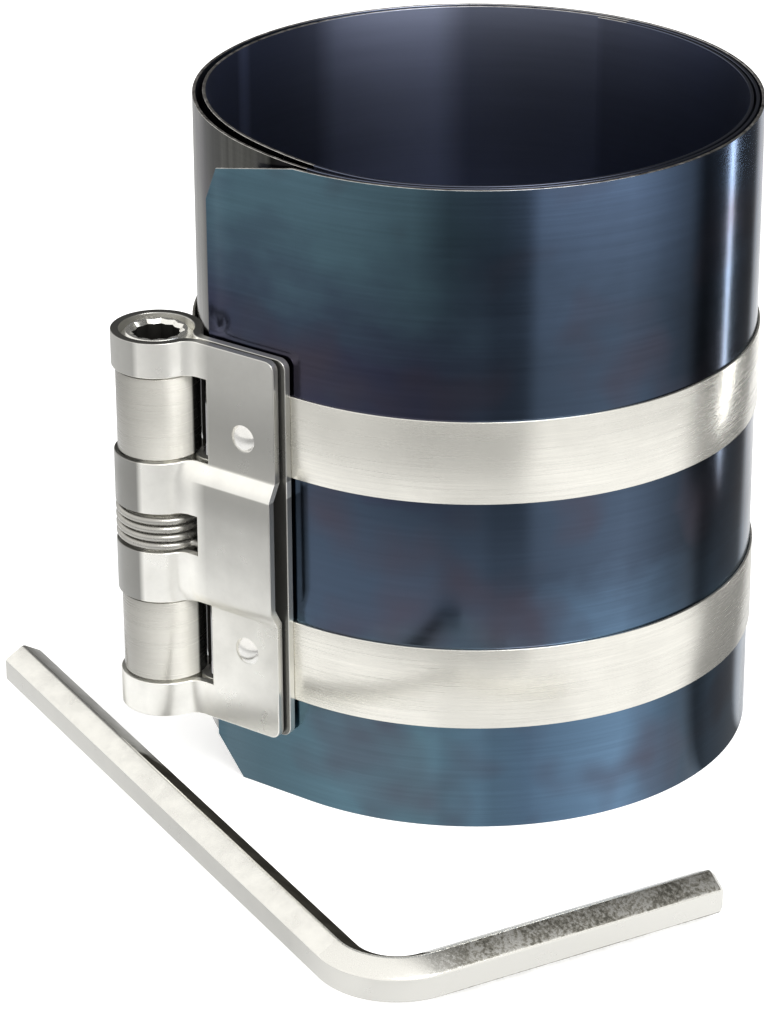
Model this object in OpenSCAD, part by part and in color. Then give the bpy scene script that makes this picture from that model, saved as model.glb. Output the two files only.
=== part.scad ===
// Piston ring compressor: a coiled spring-steel sleeve that two bands close round a piston,
// wound in by a spindle that a loose hex key turns. The sleeve's axis is Z and its bottom
// rim lies on z = 0. The flat end of the strip and the housing face -Y.

/* [Sleeve] */
// Height of the coiled strip
sleeve_h = 80; // [70:1:100]
// Outer radius of the coil
sleeve_r = 34; // [31:0.5:40]
// Thickness of the strip
strip_t = 0.4; // [0.3:0.05:0.5]
// Clear space between the layers of the coil
layer_gap = 0.28; // [0.1:0.02:0.36]
// Turns of the coil, from where the flat outer end leaves it to the inner end
coil_turns = 2.52; // [2.1:0.02:2.9]
// Slack of the second layer on the side of the spindle
coil_slack = 0.4; // [0.1:0.05:0.5]
// Length of the clipped upper corner of the flat end
top_clip_l = 12.5; // [4:0.5:12.5]
// Height of the clipped upper corner of the flat end
top_clip_h = 2.5; // [2:0.5:8]
// Length of the steep clip at the flat end's upper corner
end_clip_l = 1.4; // [0.8:0.1:2]
// Height of the steep clip at the flat end's upper corner
end_clip_h = 3.6; // [2:0.2:6]
// Length of the clipped lower corner of the flat end
bottom_clip_l = 3.7; // [2:0.1:8]
// Height of the clipped lower corner of the flat end
bottom_clip_h = 4.8; // [3:0.1:9]

/* [Bands] */
// Width of each band
band_w = 10.2; // [9:0.2:10.8]
// Thickness of each band
band_t = 0.3; // [0.2:0.05:0.4]
// Distance of each band's middle from the middle of the housing
band_rise = 14.4; // [14:0.1:15.4]
// Length of the fixed end that lies flat under the housing
band_tail = 12; // [10:0.5:12.5]
// Angle over which the free end lies on its roll
band_wrap = 16; // [6:1:40]

/* [Housing] */
// Height of the housing
housing_h = 48.4; // [46:0.2:54]
// Height of the middle of the housing above the bottom rim
housing_z = 32.8; // [30:0.2:40]
// Thickness of the folded sheet
sheet_t = 1; // [0.8:0.05:1.2]
// Reach of the front leaf from the spindle's axis
leaf_len = 18; // [16:0.5:20]
// How much further the back leaf reaches
leaf_step = 0.7; // [0.3:0.1:1.5]
// Gap between the two leaves
leaf_gap = 0.3; // [0.1:0.05:0.5]
// Outside radius of the bend from a leaf to the knuckles
bend_r = 2; // [1.5:0.1:2.4]
// Radius of the leaves' free corners
corner_r = 1.2; // [0.5:0.1:3]
// Height of the raised middle of the front leaf, which holds the spring's tail
pocket_h = 14.2; // [12:0.2:15]
// Depth of that pocket
pocket_d = 1.2; // [1:0.05:1.5]
// Height of the ramps above and below the raised middle
ramp_h = 2.1; // [1.5:0.1:2.4]
// Reach of the band windows from the spindle's axis towards the leaves
band_slot = 8.1; // [7.1:0.1:8.5]
// Reach of the spring window from the spindle's axis towards the leaves
spring_slot = 7.2; // [6.2:0.1:7.5]

/* [Spindle] */
// Radius of the spindle
spindle_r = 4.4; // [4.2:0.05:4.8]
// Across flats of the twelve-point socket
socket_af = 5.1; // [4.5:0.05:5.3]
// Depth of the socket
socket_depth = 12; // [8:0.5:14]
// Chamfer on the ends of the spindle
spindle_chamfer = 0.5; // [0.2:0.05:0.8]
// How far the ends of the spindle lie inside the end knuckles
spindle_inset = 0.3; // [0:0.05:0.8]
// Turns of band on each roll
roll_turns = 1.2; // [1.1:0.05:1.3]
// Length of the band's bent tip in the slit of the spindle
tip_len = 1; // [0.6:0.05:1.1]

/* [Wrap spring] */
// Wire diameter
wire_d = 0.95; // [0.8:0.05:1.05]
// Pitch of the coils
spring_pitch = 1.08; // [1.06:0.01:1.2]
// Number of coils
spring_turns = 3.5; // [2.5:0.1:3.6]
// Length of the straight tail in the pocket
tail_len = 6; // [3:0.5:9]
// Bend radius where the tail leaves the coil
tail_bend_r = 1; // [0.8:0.05:1.2]

/* [Rivets] */
// Distance of the rivets from the edge of the front leaf
rivet_in = 4.6; // [4:0.1:6]
// Distance of each rivet from the middle of the housing
rivet_rise = 13.7; // [12.5:0.1:16]
// Radius of the shank
rivet_r = 1; // [0.7:0.05:1.1]
// Radius of the domed head
rivet_head_r = 1.7; // [1.3:0.05:1.8]
// Height of the domed head
rivet_head_h = 0.7; // [0.4:0.05:1]
// Height of the flat tail behind the strip
rivet_tail_h = 0.3; // [0.2:0.02:0.34]

/* [Hex key] */
// Across flats
key_af = 5; // [4:0.1:5.1]
// Length of the long leg, from the corner of the middle lines
key_long = 91; // [70:1:110]
// Length of the short leg, from the corner of the middle lines
key_short = 44.5; // [28:0.5:60]
// Radius of the bend on the middle line
key_bend_r = 7.5; // [6:0.5:12]
// Chamfer on the ends
key_chamfer = 0.6; // [0.3:0.1:1]
// Direction of the long leg on the table, in degrees
key_turn = 155.5; // [150:0.5:165]
// Space between the sleeve and the middle line of the long leg
key_away = 14; // [12.5:0.5:30]
// Distance of the key's corner along the long leg from abreast of the sleeve's axis
key_lead = 60; // [50:1:80]

/* [Clearances] */
// Between pieces that lie on each other
seat_gap = 0.03; // [0.02:0.01:0.05]
// Between the spindle and the knuckles, on the radius
run_gap = 0.05; // [0.03:0.01:0.08]
// Between a band and the ends of its window
window_gap = 0.3; // [0.2:0.05:0.4]
// Between a roll and the free end of its band
roll_gap = 0.12; // [0.1:0.02:0.2]
// Between the spindle and the wrap spring, on the radius
spring_gap = 0.12; // [0.1:0.01:0.16]
// Between the wrap spring and the ends of its window
spring_end_gap = 0.15; // [0.1:0.01:0.25]
// Between the coil of the sleeve and the knuckles
knuckle_gap = 1.5; // [1.4:0.1:3]
// Between the flat end of the strip and the knuckles
flap_gap = 1.2; // [1:0.1:2.5]

/* [Hidden] */
$fn = 180;

// Margin by which a cutting shape passes what it cuts
cut_over = 1;
// How far a band's straight run is thinner on each face than its arcs, and how far it reaches into them
run_trim = 0.02;
run_lap = 0.3;
// How far the bend of a leaf bites into the knuckle, and the angles over which the two overlap
bend_bite = 0.03;
knuckle_lap = 4;
bend_lap = 8;
// Sides of the spring's wire and rings on one turn of it
wire_sides = 10;
turn_rings = 28;
// Rings on the bend of the spring's tail
bend_rings = 5;
// Length of the cone at the bottom of the socket, as a drill leaves it
drill_tip = 1.5;

// Each half turn of the coil is this much smaller than the one before
half_step = (strip_t + layer_gap) / 2;
half_turn = 180;
full_turn = 360;

// Housing: the knuckles' bore, their outer radius, and the leaves' outer faces from the axis plane
bore_r = spindle_r + run_gap;
knuckle_r = bore_r + sheet_t;
leaf_off = leaf_gap / 2 + sheet_t;
pocket_off = leaf_off + pocket_d;

// Place of the spindle's axis: the back leaf lies on the band, and the knuckles clear the coil
axis_y = -(sleeve_r + 2 * seat_gap + band_t + leaf_off);
axis_x = -sqrt(pow(sleeve_r + knuckle_gap + knuckle_r, 2) - axis_y * axis_y);
axis = [axis_x, axis_y, 0];
flap_len = -axis_x - knuckle_r - flap_gap;

housing_top = housing_z + housing_h / 2;
housing_bottom = housing_z - housing_h / 2;
window_h = band_w + 2 * window_gap;
spring_h = spring_turns * spring_pitch + wire_d;
spring_window_h = spring_h + 2 * spring_end_gap;

// Rolls: the band winds inwards from this radius in half turns
roll_step = (band_t + seat_gap) / 2;
roll_in_r = spindle_r + seat_gap;
roll_halves = floor(2 * roll_turns);
roll_out_r = roll_in_r + band_t + roll_halves * roll_step;
wrap_r = roll_out_r + roll_gap;

// Where each band leaves the second layer of the coil and crosses to the near side of its roll
second_c = [-coil_slack, half_step];
second_r = sleeve_r - half_step + seat_gap;
to_axis = [axis_x, axis_y] - second_c;
cross_r = second_r + band_t + wrap_r;
leave_angle = atan2(to_axis[1], to_axis[0]) + full_turn - acos(cross_r / norm(to_axis));
run_len = sqrt(pow(norm(to_axis), 2) - pow(cross_r, 2));
// Where the band meets its roll, on the side that faces the coil
meet_angle = leave_angle - half_turn;

rivet_x = axis_x + leaf_len - rivet_in;
socket_r = socket_af / sqrt(3);
key_r = key_af / sqrt(3);
coil_r = spindle_r + spring_gap + wire_d / 2;
// Middle of the pocket between the leaves, from the axis plane
pocket_mid = -pocket_d / 2;

// Wall of thickness t and height h on an arc of inner radius r, swept either way from an angle
module arc_wall(r, t, h, from, sweep) {
    rotate([0, 0, from])
        rotate_extrude(angle = sweep)
            translate([r, 0])
                square([t, h]);
}

// Flat wall of thickness t and height h from x0 to x1, its lower face at y
module flat_wall(x0, x1, y, t, h) {
    translate([x0, y, 0])
        cube([x1 - x0, t, h]);
}

// Wedge of the plane between two rays from the origin, less than half a turn apart
module wedge(a0, a1, reach) {
    middle = (a0 + a1) / 2;
    polygon([[0, 0],
        reach * [cos(a0), sin(a0)],
        2 * reach * [cos(middle), sin(middle)],
        reach * [cos(a1), sin(a1)]]);
}

// One half turn of the coil, counted from the outer end: even ones on the right, odd ones on the left
module coil_half(k, sweep) {
    left = k % 2 == 1;
    start = left ? 90 : -90;
    shift = k == 1 ? coil_slack : 0;
    translate([-shift, left ? half_step : 0, 0])
        arc_wall(sleeve_r - k * half_step - strip_t, strip_t, sleeve_h, start, sweep);
}

module sleeve() {
    sweep = coil_turns * full_turn;
    back_y = sleeve_r - strip_t;
    front_y = -sleeve_r + 2 * half_step;
    color("midnightblue")
        difference() {
            union() {
                for (k = [0 : ceil(sweep / half_turn) - 1])
                    coil_half(k, min(half_turn, sweep - k * half_turn));
                // The slack of the second layer is a short straight stretch at the back and the front
                flat_wall(-coil_slack, 0, back_y, strip_t, sleeve_h);
                flat_wall(-coil_slack, 0, front_y, strip_t, sleeve_h);
                flat_wall(-flap_len, 0, -sleeve_r, strip_t, sleeve_h);
            }
            flap_corner(sleeve_h, top_clip_l, -top_clip_h);
            flap_corner(sleeve_h - top_clip_h, end_clip_l, -end_clip_h);
            flap_corner(0, bottom_clip_l, bottom_clip_h);
            rivet_hole(housing_z + rivet_rise);
            rivet_hole(housing_z - rivet_rise);
        }
}

// Cutter for a clipped corner of the flat end, at height z
module flap_corner(z, l, h) {
    side = sign(h);
    translate([-flap_len, -sleeve_r + strip_t + cut_over / 4, z])
        rotate([90, 0, 0])
            linear_extrude(strip_t + cut_over / 2)
                polygon([[-cut_over, h + side * cut_over * abs(h) / l],
                    [l + cut_over * l / abs(h), -side * cut_over],
                    [-cut_over, -side * cut_over]]);
}

// Hole for a rivet through the flat end, the band and the leaves, at height z
module rivet_hole(z) {
    translate([rivet_x, -sleeve_r + strip_t + cut_over / 4, z])
        rotate([90, 0, 0])
            cylinder(r = rivet_r + seat_gap, h = strip_t + band_t + 2 * leaf_off + cut_over);
}

// One band: flat under the housing, round the coil, then straight on to its roll
module band(z) {
    translate([0, 0, z - band_w / 2])
        difference() {
            union() {
                flat_wall(-band_tail, 0, -sleeve_r - seat_gap - band_t, band_t, band_w);
                arc_wall(sleeve_r + seat_gap, band_t, band_w, -90, half_turn);
                flat_wall(-coil_slack, 0, sleeve_r + seat_gap, band_t, band_w);
                translate(second_c)
                    arc_wall(second_r, band_t, band_w, 90, leave_angle - 90);
                // The straight run is sunk a little into the walls of the arcs at its ends
                translate(second_c)
                    rotate([0, 0, leave_angle])
                        translate([second_r + run_trim, -run_lap, 0])
                            cube([band_t - 2 * run_trim, run_len + 2 * run_lap, band_w]);
                translate(axis)
                    arc_wall(wrap_r, band_t, band_w, meet_angle, -band_wrap);
            }
            translate([0, 0, band_w / 2 - z])
                rivet_hole(z > housing_z ? housing_z + rivet_rise : housing_z - rivet_rise);
        }
}

module upper_band() {
    color("silver")
        band(housing_z + band_rise);
}

module lower_band() {
    color("silver")
        band(housing_z - band_rise);
}

// Distance of a bend's centre from the spindle's axis
bend_away = knuckle_r + bend_r - bend_bite;
// Angle at the spindle's axis where the bend to a leaf with this offset begins
function bend_angle(off) = asin((off + bend_r) / bend_away);
// Reach of that bend along the leaf
function bend_x(off) = bend_away * cos(bend_angle(off));

// Bend and leaf on the +Y side of the axis plane, with the outer face at this offset
module leaf_profile(off, reach) {
    angle = bend_angle(off);
    translate([bend_x(off), off + bend_r])
        intersection() {
            difference() {
                circle(r = bend_r + sheet_t);
                circle(r = bend_r);
            }
            wedge(half_turn + angle - bend_lap, 270, 2 * (bend_r + sheet_t));
        }
    translate([bend_x(off), off - sheet_t])
        square([reach - bend_x(off), sheet_t]);
}

// Half of a knuckle on the +Y side of the axis plane, open from the axis plane up to an angle
module knuckle_profile(angle) {
    intersection() {
        circle(r = knuckle_r);
        union() {
            wedge(angle, 90, 2 * knuckle_r);
            wedge(90, half_turn, 2 * knuckle_r);
        }
    }
}

// Half of the housing between two heights, from the middle of the housing
module housing_half(z0, z1, off, reach) {
    translate([0, 0, z0])
        linear_extrude(z1 - z0) {
            knuckle_profile(bend_angle(off) - knuckle_lap);
            leaf_profile(off, reach);
        }
}

// Ramp between the front leaf and its raised middle, with the knuckle closed beside it
module ramp() {
    foot = pocket_h / 2;
    translate([0, 0, foot])
        linear_extrude(ramp_h)
            knuckle_profile(0);
    translate([bore_r + run_gap, 0, foot])
        rotate([90, 0, 90])
            linear_extrude(leaf_len - bore_r - run_gap)
                polygon([[pocket_off, 0],
                    [leaf_off, ramp_h],
                    [leaf_off - sheet_t, ramp_h],
                    [pocket_off - sheet_t, 0]]);
}

// Cutter that leaves a rounded corner at the free edge of a leaf, above the middle
module leaf_corner(reach) {
    translate([reach - corner_r, 0, housing_h / 2 - corner_r])
        rotate([90, 0, 0])
            linear_extrude(pocket_off + cut_over)
                difference() {
                    square(corner_r + cut_over);
                    circle(r = corner_r);
                }
}

// Front half of the housing: plain leaf above and below, raised leaf in the middle
module front_half() {
    foot = pocket_h / 2;
    mirror([0, 1, 0]) {
        housing_half(-foot, foot, pocket_off, leaf_len);
        for (side = [0, 1])
            mirror([0, 0, side]) {
                ramp();
                housing_half(foot + ramp_h, housing_h / 2, leaf_off, leaf_len);
            }
    }
}

// Box that opens a window between the knuckles, of height h and this reach, at height z
module window(z, h, reach) {
    side = knuckle_r + cut_over;
    translate([-side, -side, z - h / 2])
        cube([side + reach, 2 * side, h]);
}

module housing() {
    color("gainsboro")
        translate(axis + [0, 0, housing_z])
            difference() {
                union() {
                    housing_half(-housing_h / 2, housing_h / 2, leaf_off, leaf_len + leaf_step);
                    front_half();
                }
                translate([0, 0, -housing_h])
                    cylinder(r = bore_r, h = 2 * housing_h);
                for (side = [-1, 1])
                    window(side * band_rise, window_h, band_slot);
                window(0, spring_window_h, spring_slot);
                for (side = [0, 1])
                    mirror([0, 0, side]) {
                        leaf_corner(leaf_len);
                        translate([0, pocket_off + cut_over, 0])
                            leaf_corner(leaf_len + leaf_step);
                    }
                translate([-axis_x, -axis_y, -housing_z]) {
                    rivet_hole(housing_z + rivet_rise);
                    rivet_hole(housing_z - rivet_rise);
                }
            }
}

// Slit in the spindle that takes the bent tip of a band, at height z
module tip_slit(z) {
    translate([spindle_r - tip_len - seat_gap, -band_t / 2 - seat_gap, z - band_w / 2 - seat_gap])
        cube([tip_len + cut_over, band_t + 2 * seat_gap, band_w + 2 * seat_gap]);
}

// Angle of the slits, where the rolls' inner ends turn in
slit_angle = meet_angle - band_wrap - roll_turns * full_turn;

module spindle() {
    top = housing_top - spindle_inset;
    bottom = housing_bottom + spindle_inset;
    edge = spindle_r - spindle_chamfer;
    color("lightgray")
        translate(axis)
            difference() {
                rotate_extrude()
                    polygon([[0, bottom],
                        [edge, bottom],
                        [spindle_r, bottom + spindle_chamfer],
                        [spindle_r, top - spindle_chamfer],
                        [edge, top],
                        [0, top]]);
                for (turn = [0, 30])
                    translate([0, 0, top - socket_depth])
                        rotate([0, 0, turn])
                            cylinder(r = socket_r, h = socket_depth + cut_over, $fn = 6);
                translate([0, 0, top - socket_depth - drill_tip])
                    cylinder(r1 = 0, r2 = socket_af / 2, h = drill_tip);
                rotate([0, 0, slit_angle])
                    for (side = [-1, 1])
                        tip_slit(housing_z + side * band_rise);
            }
}

// Wound end of a band: it turns inwards, the other way round, from where the free end leaves it to the slit
module roll(z) {
    start = band_wrap - meet_angle;
    stop = -slit_angle;
    first = floor((start + 90) / half_turn);
    last = floor((stop + 90) / half_turn);
    // The innermost arc clears the spindle on either side
    inner_r = roll_in_r + (last % 2 == 1 ? roll_step : 0);
    // The innermost arc runs on a little past the tip that turns in
    tip_over = atan(band_t / inner_r);
    translate(axis + [0, 0, z - band_w / 2])
        mirror([0, 1, 0]) {
            for (k = [first : last]) {
                left = abs(k) % 2 == 1;
                // The outermost arc is swept back from its inner end, the others on from their outer ends
                from = k * half_turn + (k == first ? 90 : -90);
                sweep = k == first ? start - from : min(stop + tip_over - from, half_turn);
                translate([0, left ? roll_step : 0, 0])
                    arc_wall(inner_r + (last - k) * roll_step, band_t, band_w, from, sweep);
            }
            rotate([0, 0, stop])
                translate([spindle_r - tip_len, -band_t / 2, 0])
                    cube([tip_len + seat_gap + band_t / 2, band_t, band_w]);
        }
}

module upper_roll() {
    color("silver")
        roll(housing_z + band_rise);
}

module lower_roll() {
    color("silver")
        roll(housing_z - band_rise);
}

// Path of the spring's wire: down the coil, round the bend and along the pocket
tail_angle = -asin((tail_bend_r - pocket_mid) / (coil_r + tail_bend_r));
bend_c = (coil_r + tail_bend_r) * [cos(tail_angle), sin(tail_angle)];
coil_rings = ceil(spring_turns * turn_rings);
function coil_point(i) =
    let (a = tail_angle - (coil_rings - i) / coil_rings * spring_turns * full_turn)
    [coil_r * cos(a), coil_r * sin(a), spring_turns * spring_pitch * (0.5 - i / coil_rings)];
function bend_point(i) =
    let (a = half_turn + tail_angle + (90 - half_turn - tail_angle) * i / bend_rings)
    [bend_c[0] + tail_bend_r * cos(a), bend_c[1] + tail_bend_r * sin(a), -spring_turns * spring_pitch / 2];
wire_path = concat(
    [for (i = [0 : coil_rings]) coil_point(i)],
    [for (i = [1 : bend_rings]) bend_point(i)],
    [[bend_c[0] + tail_len, bend_c[1] + tail_bend_r, -spring_turns * spring_pitch / 2]]);
wire_rings = len(wire_path);

function unit(v) = v / norm(v);
function heading(i) = unit(wire_path[min(i + 1, wire_rings - 1)] - wire_path[max(i - 1, 0)]);
function ring_point(i, j) =
    let (along = heading(i), side = unit(cross(along, [0, 0, 1])), up = cross(side, along),
        a = full_turn * j / wire_sides)
    wire_path[i] + wire_d / 2 * (cos(a) * side + sin(a) * up);

module wrap_spring() {
    points = [for (i = [0 : wire_rings - 1], j = [0 : wire_sides - 1]) ring_point(i, j)];
    walls = [for (i = [0 : wire_rings - 2], j = [0 : wire_sides - 1])
        let (n = (j + 1) % wire_sides, a = i * wire_sides, b = a + wire_sides)
        [a + j, b + j, b + n, a + n]];
    start_cap = [for (j = [0 : wire_sides - 1]) j];
    end_cap = [for (j = [wire_sides - 1 : -1 : 0]) (wire_rings - 1) * wire_sides + j];
    color("darkgray")
        translate(axis + [0, 0, housing_z])
            polyhedron(points, concat(walls, [start_cap, end_cap]));
}

// Rivet along -Y: flat tail behind the strip, shank, and a domed head on the front leaf
module rivet(z) {
    grip = strip_t + 2 * seat_gap + band_t + 2 * leaf_off;
    dome_r = (rivet_head_r * rivet_head_r + rivet_head_h * rivet_head_h) / (2 * rivet_head_h);
    translate([rivet_x, -sleeve_r + strip_t, z])
        rotate([90, 0, 0]) {
            translate([0, 0, -rivet_tail_h])
                cylinder(r = rivet_head_r, h = rivet_tail_h);
            cylinder(r = rivet_r, h = grip);
            translate([0, 0, grip])
                intersection() {
                    cylinder(r = rivet_head_r, h = rivet_head_h);
                    translate([0, 0, rivet_head_h - dome_r])
                        sphere(r = dome_r);
                }
        }
}

module upper_rivet() {
    color("whitesmoke")
        rivet(housing_z + rivet_rise);
}

module lower_rivet() {
    color("whitesmoke")
        rivet(housing_z - rivet_rise);
}

// Section of the key, with corners at the top and the bottom
module key_section() {
    polygon([for (k = [0 : 5]) key_r * [cos(30 + 60 * k), sin(30 + 60 * k)]]);
}

// Straight leg of the key along +Z, with a chamfered end
module key_leg(l) {
    wide = key_r + cut_over;
    intersection() {
        linear_extrude(l)
            key_section();
        rotate_extrude()
            polygon([[0, -cut_over],
                [wide, -cut_over],
                [wide, l - key_chamfer - cut_over],
                [key_r - key_chamfer, l],
                [0, l]]);
    }
}

// The key lies on the table on an edge of its hexagon
module hex_key() {
    color("silver")
        rotate([0, 0, key_turn])
            translate([-key_lead, sleeve_r + key_away, key_r]) {
                translate([key_bend_r, 0, 0])
                    rotate([90, 0, 90])
                        key_leg(key_long - key_bend_r);
                translate([0, -key_bend_r, 0])
                    rotate([90, 0, 0])
                        key_leg(key_short - key_bend_r);
                translate([key_bend_r, -key_bend_r, 0])
                    rotate([0, 0, 90])
                        rotate_extrude(angle = 90)
                            translate([key_bend_r, 0])
                                key_section();
            }
}

sleeve();
upper_band();
lower_band();
housing();
spindle();
upper_roll();
lower_roll();
wrap_spring();
upper_rivet();
lower_rivet();
hex_key();
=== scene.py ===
"""Models and finishes a piston ring compressor: a coiled sleeve of blued spring steel, two bright
bands, a folded housing with a socketed spindle and a wrap spring, rivets, and a loose hex key."""

import math

import bmesh
import bpy
from bpy.props import FloatProperty, FloatVectorProperty, IntProperty, PointerProperty
from mathutils import Matrix, Vector


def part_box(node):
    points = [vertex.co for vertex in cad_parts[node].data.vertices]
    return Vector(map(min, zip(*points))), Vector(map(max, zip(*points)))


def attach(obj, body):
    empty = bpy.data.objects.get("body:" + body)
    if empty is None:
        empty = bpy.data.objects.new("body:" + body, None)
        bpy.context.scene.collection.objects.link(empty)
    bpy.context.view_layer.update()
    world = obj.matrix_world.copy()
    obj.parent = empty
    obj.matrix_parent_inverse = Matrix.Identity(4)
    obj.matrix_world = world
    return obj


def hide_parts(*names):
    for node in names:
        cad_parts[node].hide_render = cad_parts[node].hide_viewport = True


bl_info = {
    "name": "Piston ring compressor",
    "version": (1, 0, 0),
    "blender": (4, 5, 0),
    "location": "View3D > Sidebar > Ring compressor",
    "description": "Models and finishes a coiled piston ring compressor with its loose hex key",
    "category": "Object",
}

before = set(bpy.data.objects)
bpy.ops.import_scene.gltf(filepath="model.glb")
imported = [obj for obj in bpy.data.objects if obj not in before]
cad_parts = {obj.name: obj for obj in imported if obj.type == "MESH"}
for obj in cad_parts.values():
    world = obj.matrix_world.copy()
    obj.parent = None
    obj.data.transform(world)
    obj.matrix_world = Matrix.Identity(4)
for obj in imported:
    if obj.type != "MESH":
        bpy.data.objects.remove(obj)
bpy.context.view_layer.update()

MM = 0.001
ALONG = Vector((1, 0, 0))
ACROSS = Vector((0, 1, 0))
UP = Vector((0, 0, 1))
FULL_TURN = 2 * math.pi
HALF_TURN = math.pi
QUARTER_TURN = math.pi / 2

# Places that every piece shares, read from the frame
SPINDLE_LOW, SPINDLE_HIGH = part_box("spindle")
HOUSING_LOW, HOUSING_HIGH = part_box("housing")
SLEEVE_LOW, SLEEVE_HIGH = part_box("sleeve")
AXIS = Vector(((SPINDLE_LOW.x + SPINDLE_HIGH.x) / 2, (SPINDLE_LOW.y + SPINDLE_HIGH.y) / 2, 0))
HOUSING_MIDDLE = (HOUSING_LOW.z + HOUSING_HIGH.z) / 2
KNUCKLE_R = AXIS.x - HOUSING_LOW.x

# Direction round the sleeve, in degrees, that faces the camera
FRONT = -55

# What several pieces or finishes share
SHARP = math.radians(35)
SAME_SPOT = 0.001 * MM
TURN_STEPS = 40
PLATE_METALLIC = 0.86
GRAIN_DEPTH = 0.02 * MM
SLEEVE_FINENESS = 2600.0
BAND_FINENESS = 3800.0
BLACK = (0.0, 0.0, 0.0, 1.0)
WHITE = (1.0, 1.0, 1.0, 1.0)


def length(name, description, default):
    """A length in metres that a user may change"""
    return FloatProperty(name=name, description=description, default=default, unit="LENGTH", precision=5)


def bearing(name, description, degrees):
    """An angle, given in degrees, that a user may change"""
    return FloatProperty(name=name, description=description, default=math.radians(degrees), subtype="ANGLE")


def colour(name, description, default):
    """A colour that a user may change"""
    return FloatVectorProperty(name=name, description=description, default=default, subtype="COLOR",
                               size=3, min=0, max=1)


class SleeveSettings(bpy.types.PropertyGroup):
    """Sizes and colours of the coiled sleeve"""
    radius: length("Radius", "Outer radius of the coil", SLEEVE_HIGH.x)
    height: length("Height", "Height of the strip", SLEEVE_HIGH.z - SLEEVE_LOW.z)
    thick: length("Thickness", "Thickness of the strip", 0.4 * MM)
    layer_gap: length("Layer gap", "Clear space between the layers", 0.28 * MM)
    turns: FloatProperty(name="Turns", description="Turns of the coil", default=2.52)
    slack: length("Slack", "Slack of the second layer on the spindle's side", 0.4 * MM)
    flap: length("Flap", "Length of the flat outer end", -AXIS.x - KNUCKLE_R - 1.2 * MM)
    top_clip_l: length("Top clip length", "Length of the clipped upper corner", 12.5 * MM)
    top_clip_h: length("Top clip height", "Height of the clipped upper corner", 2.5 * MM)
    end_clip_l: length("End clip length", "Length of the steep clip at the upper corner", 1.4 * MM)
    end_clip_h: length("End clip height", "Height of the steep clip at the upper corner", 3.6 * MM)
    bottom_clip_l: length("Bottom clip length", "Length of the clipped lower corner", 3.7 * MM)
    bottom_clip_h: length("Bottom clip height", "Height of the clipped lower corner", 4.8 * MM)
    second_dent: length("Second dent", "Stand-off of the second layer behind the flat end", 0.9 * MM)
    third_dent: length("Third dent", "Stand-off of the third layer behind the flat end", 1.7 * MM)
    edge_r: length("Edge radius", "Rounding of the strip's edges", 0.08 * MM)
    steps: IntProperty(name="Steps", description="Steps in a half turn", default=90)
    navy: colour("Navy", "Darkest tint of the blued finish", (0.054, 0.060, 0.104))
    blue: colour("Blue", "Middle tint of the blued finish", (0.060, 0.086, 0.130))
    teal: colour("Teal", "Lightest tint of the blued finish", (0.098, 0.176, 0.222))
    plum: colour("Plum", "Reddish tint of the blued finish", (0.078, 0.068, 0.092))
    steel: colour("Steel", "Steel-blue tint of the blued finish", (0.100, 0.150, 0.242))
    pale: colour("Pale", "Palest tint, near the lower edge", (0.112, 0.188, 0.285))
    front: bearing("Front", "Direction round the sleeve where its two tints meet", FRONT)
    beside_grey: colour("Rubbed", "Grey of the second layer beside the flat end", (0.29, 0.29, 0.265))
    inside: colour("Inside", "Tint of the inner face", (0.25, 0.28, 0.385))
    edge_dull: colour("Dull edge", "Duller spots on the bare edge", (0.42, 0.40, 0.38))
    edge_bright: colour("Bright edge", "Brighter spots on the bare edge", (0.75, 0.73, 0.70))


class BandSettings(bpy.types.PropertyGroup):
    """Sizes and colour of the two bands and their wound ends"""
    width: length("Width", "Width of a band", 10.2 * MM)
    thick: length("Thickness", "Thickness of a band", 0.3 * MM)
    seat: length("Seat gap", "Space between a band and what it lies on", 0.03 * MM)
    tail: length("Tail", "Length of the end that lies flat under the housing", 12 * MM)
    wrap: bearing("Wrap", "Angle over which the free end lies on its roll", 16)
    lay_radius: length("Lay radius", "Inside radius of the free end on its roll", 5.18 * MM)
    roll_turns: FloatProperty(name="Roll turns", description="Turns of band on each roll", default=1.2)
    edge_r: length("Edge radius", "Rounding of the band's edges", 0.07 * MM)
    # Painted shadow on the end that crosses to its roll: its reach round the spindle's axis
    painted_shadow_reach: length("Grease", "Reach of the grease round the spindle's axis", 13 * MM)
    tint: colour("Tint", "Bright rolled steel", (0.96, 0.94, 0.865))
    # Black of that painted shadow
    painted_shadow_tint: colour("Grease tint", "Steel black with grease", (0.02, 0.019, 0.017))


class HousingSettings(bpy.types.PropertyGroup):
    """Sizes and colour of the folded housing"""
    sheet: length("Sheet", "Thickness of the sheet", 1.0 * MM)
    reach: length("Reach", "Reach of the front leaf from the spindle's axis",
                  HOUSING_HIGH.x - AXIS.x - 0.7 * MM)
    back_reach: length("Back reach", "Reach of the back leaf", HOUSING_HIGH.x - AXIS.x)
    leaf_gap: length("Leaf gap", "Gap between the two leaves", 0.3 * MM)
    bend_r: length("Bend radius", "Outside radius of the bend from a leaf to the knuckles", 2 * MM)
    corner_r: length("Corner radius", "Rounding of the leaves' free corners", 1.2 * MM)
    pocket_h: length("Pocket height", "Height of the raised middle", 14.2 * MM)
    pocket_d: length("Pocket depth", "Depth of the raised middle", 1.2 * MM)
    ramp_h: length("Ramp height", "Height of the ramps beside the raised middle", 2.1 * MM)
    band_rise: length("Band rise", "Distance of the band windows from the middle", 14.4 * MM)
    band_window: length("Band window", "Height of a band window", 10.8 * MM)
    band_slot: length("Band slot", "Reach of the band windows towards the leaves", 8.1 * MM)
    spring_window: length("Spring window", "Height of the spring window", 5.03 * MM)
    spring_slot: length("Spring slot", "Reach of the spring window towards the leaves", 7.2 * MM)
    edge_r: length("Edge radius", "Rounding of the sheet's edges", 0.16 * MM)
    tint: colour("Tint", "Bright nickel plate", (1.0, 0.99, 0.935))


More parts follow.
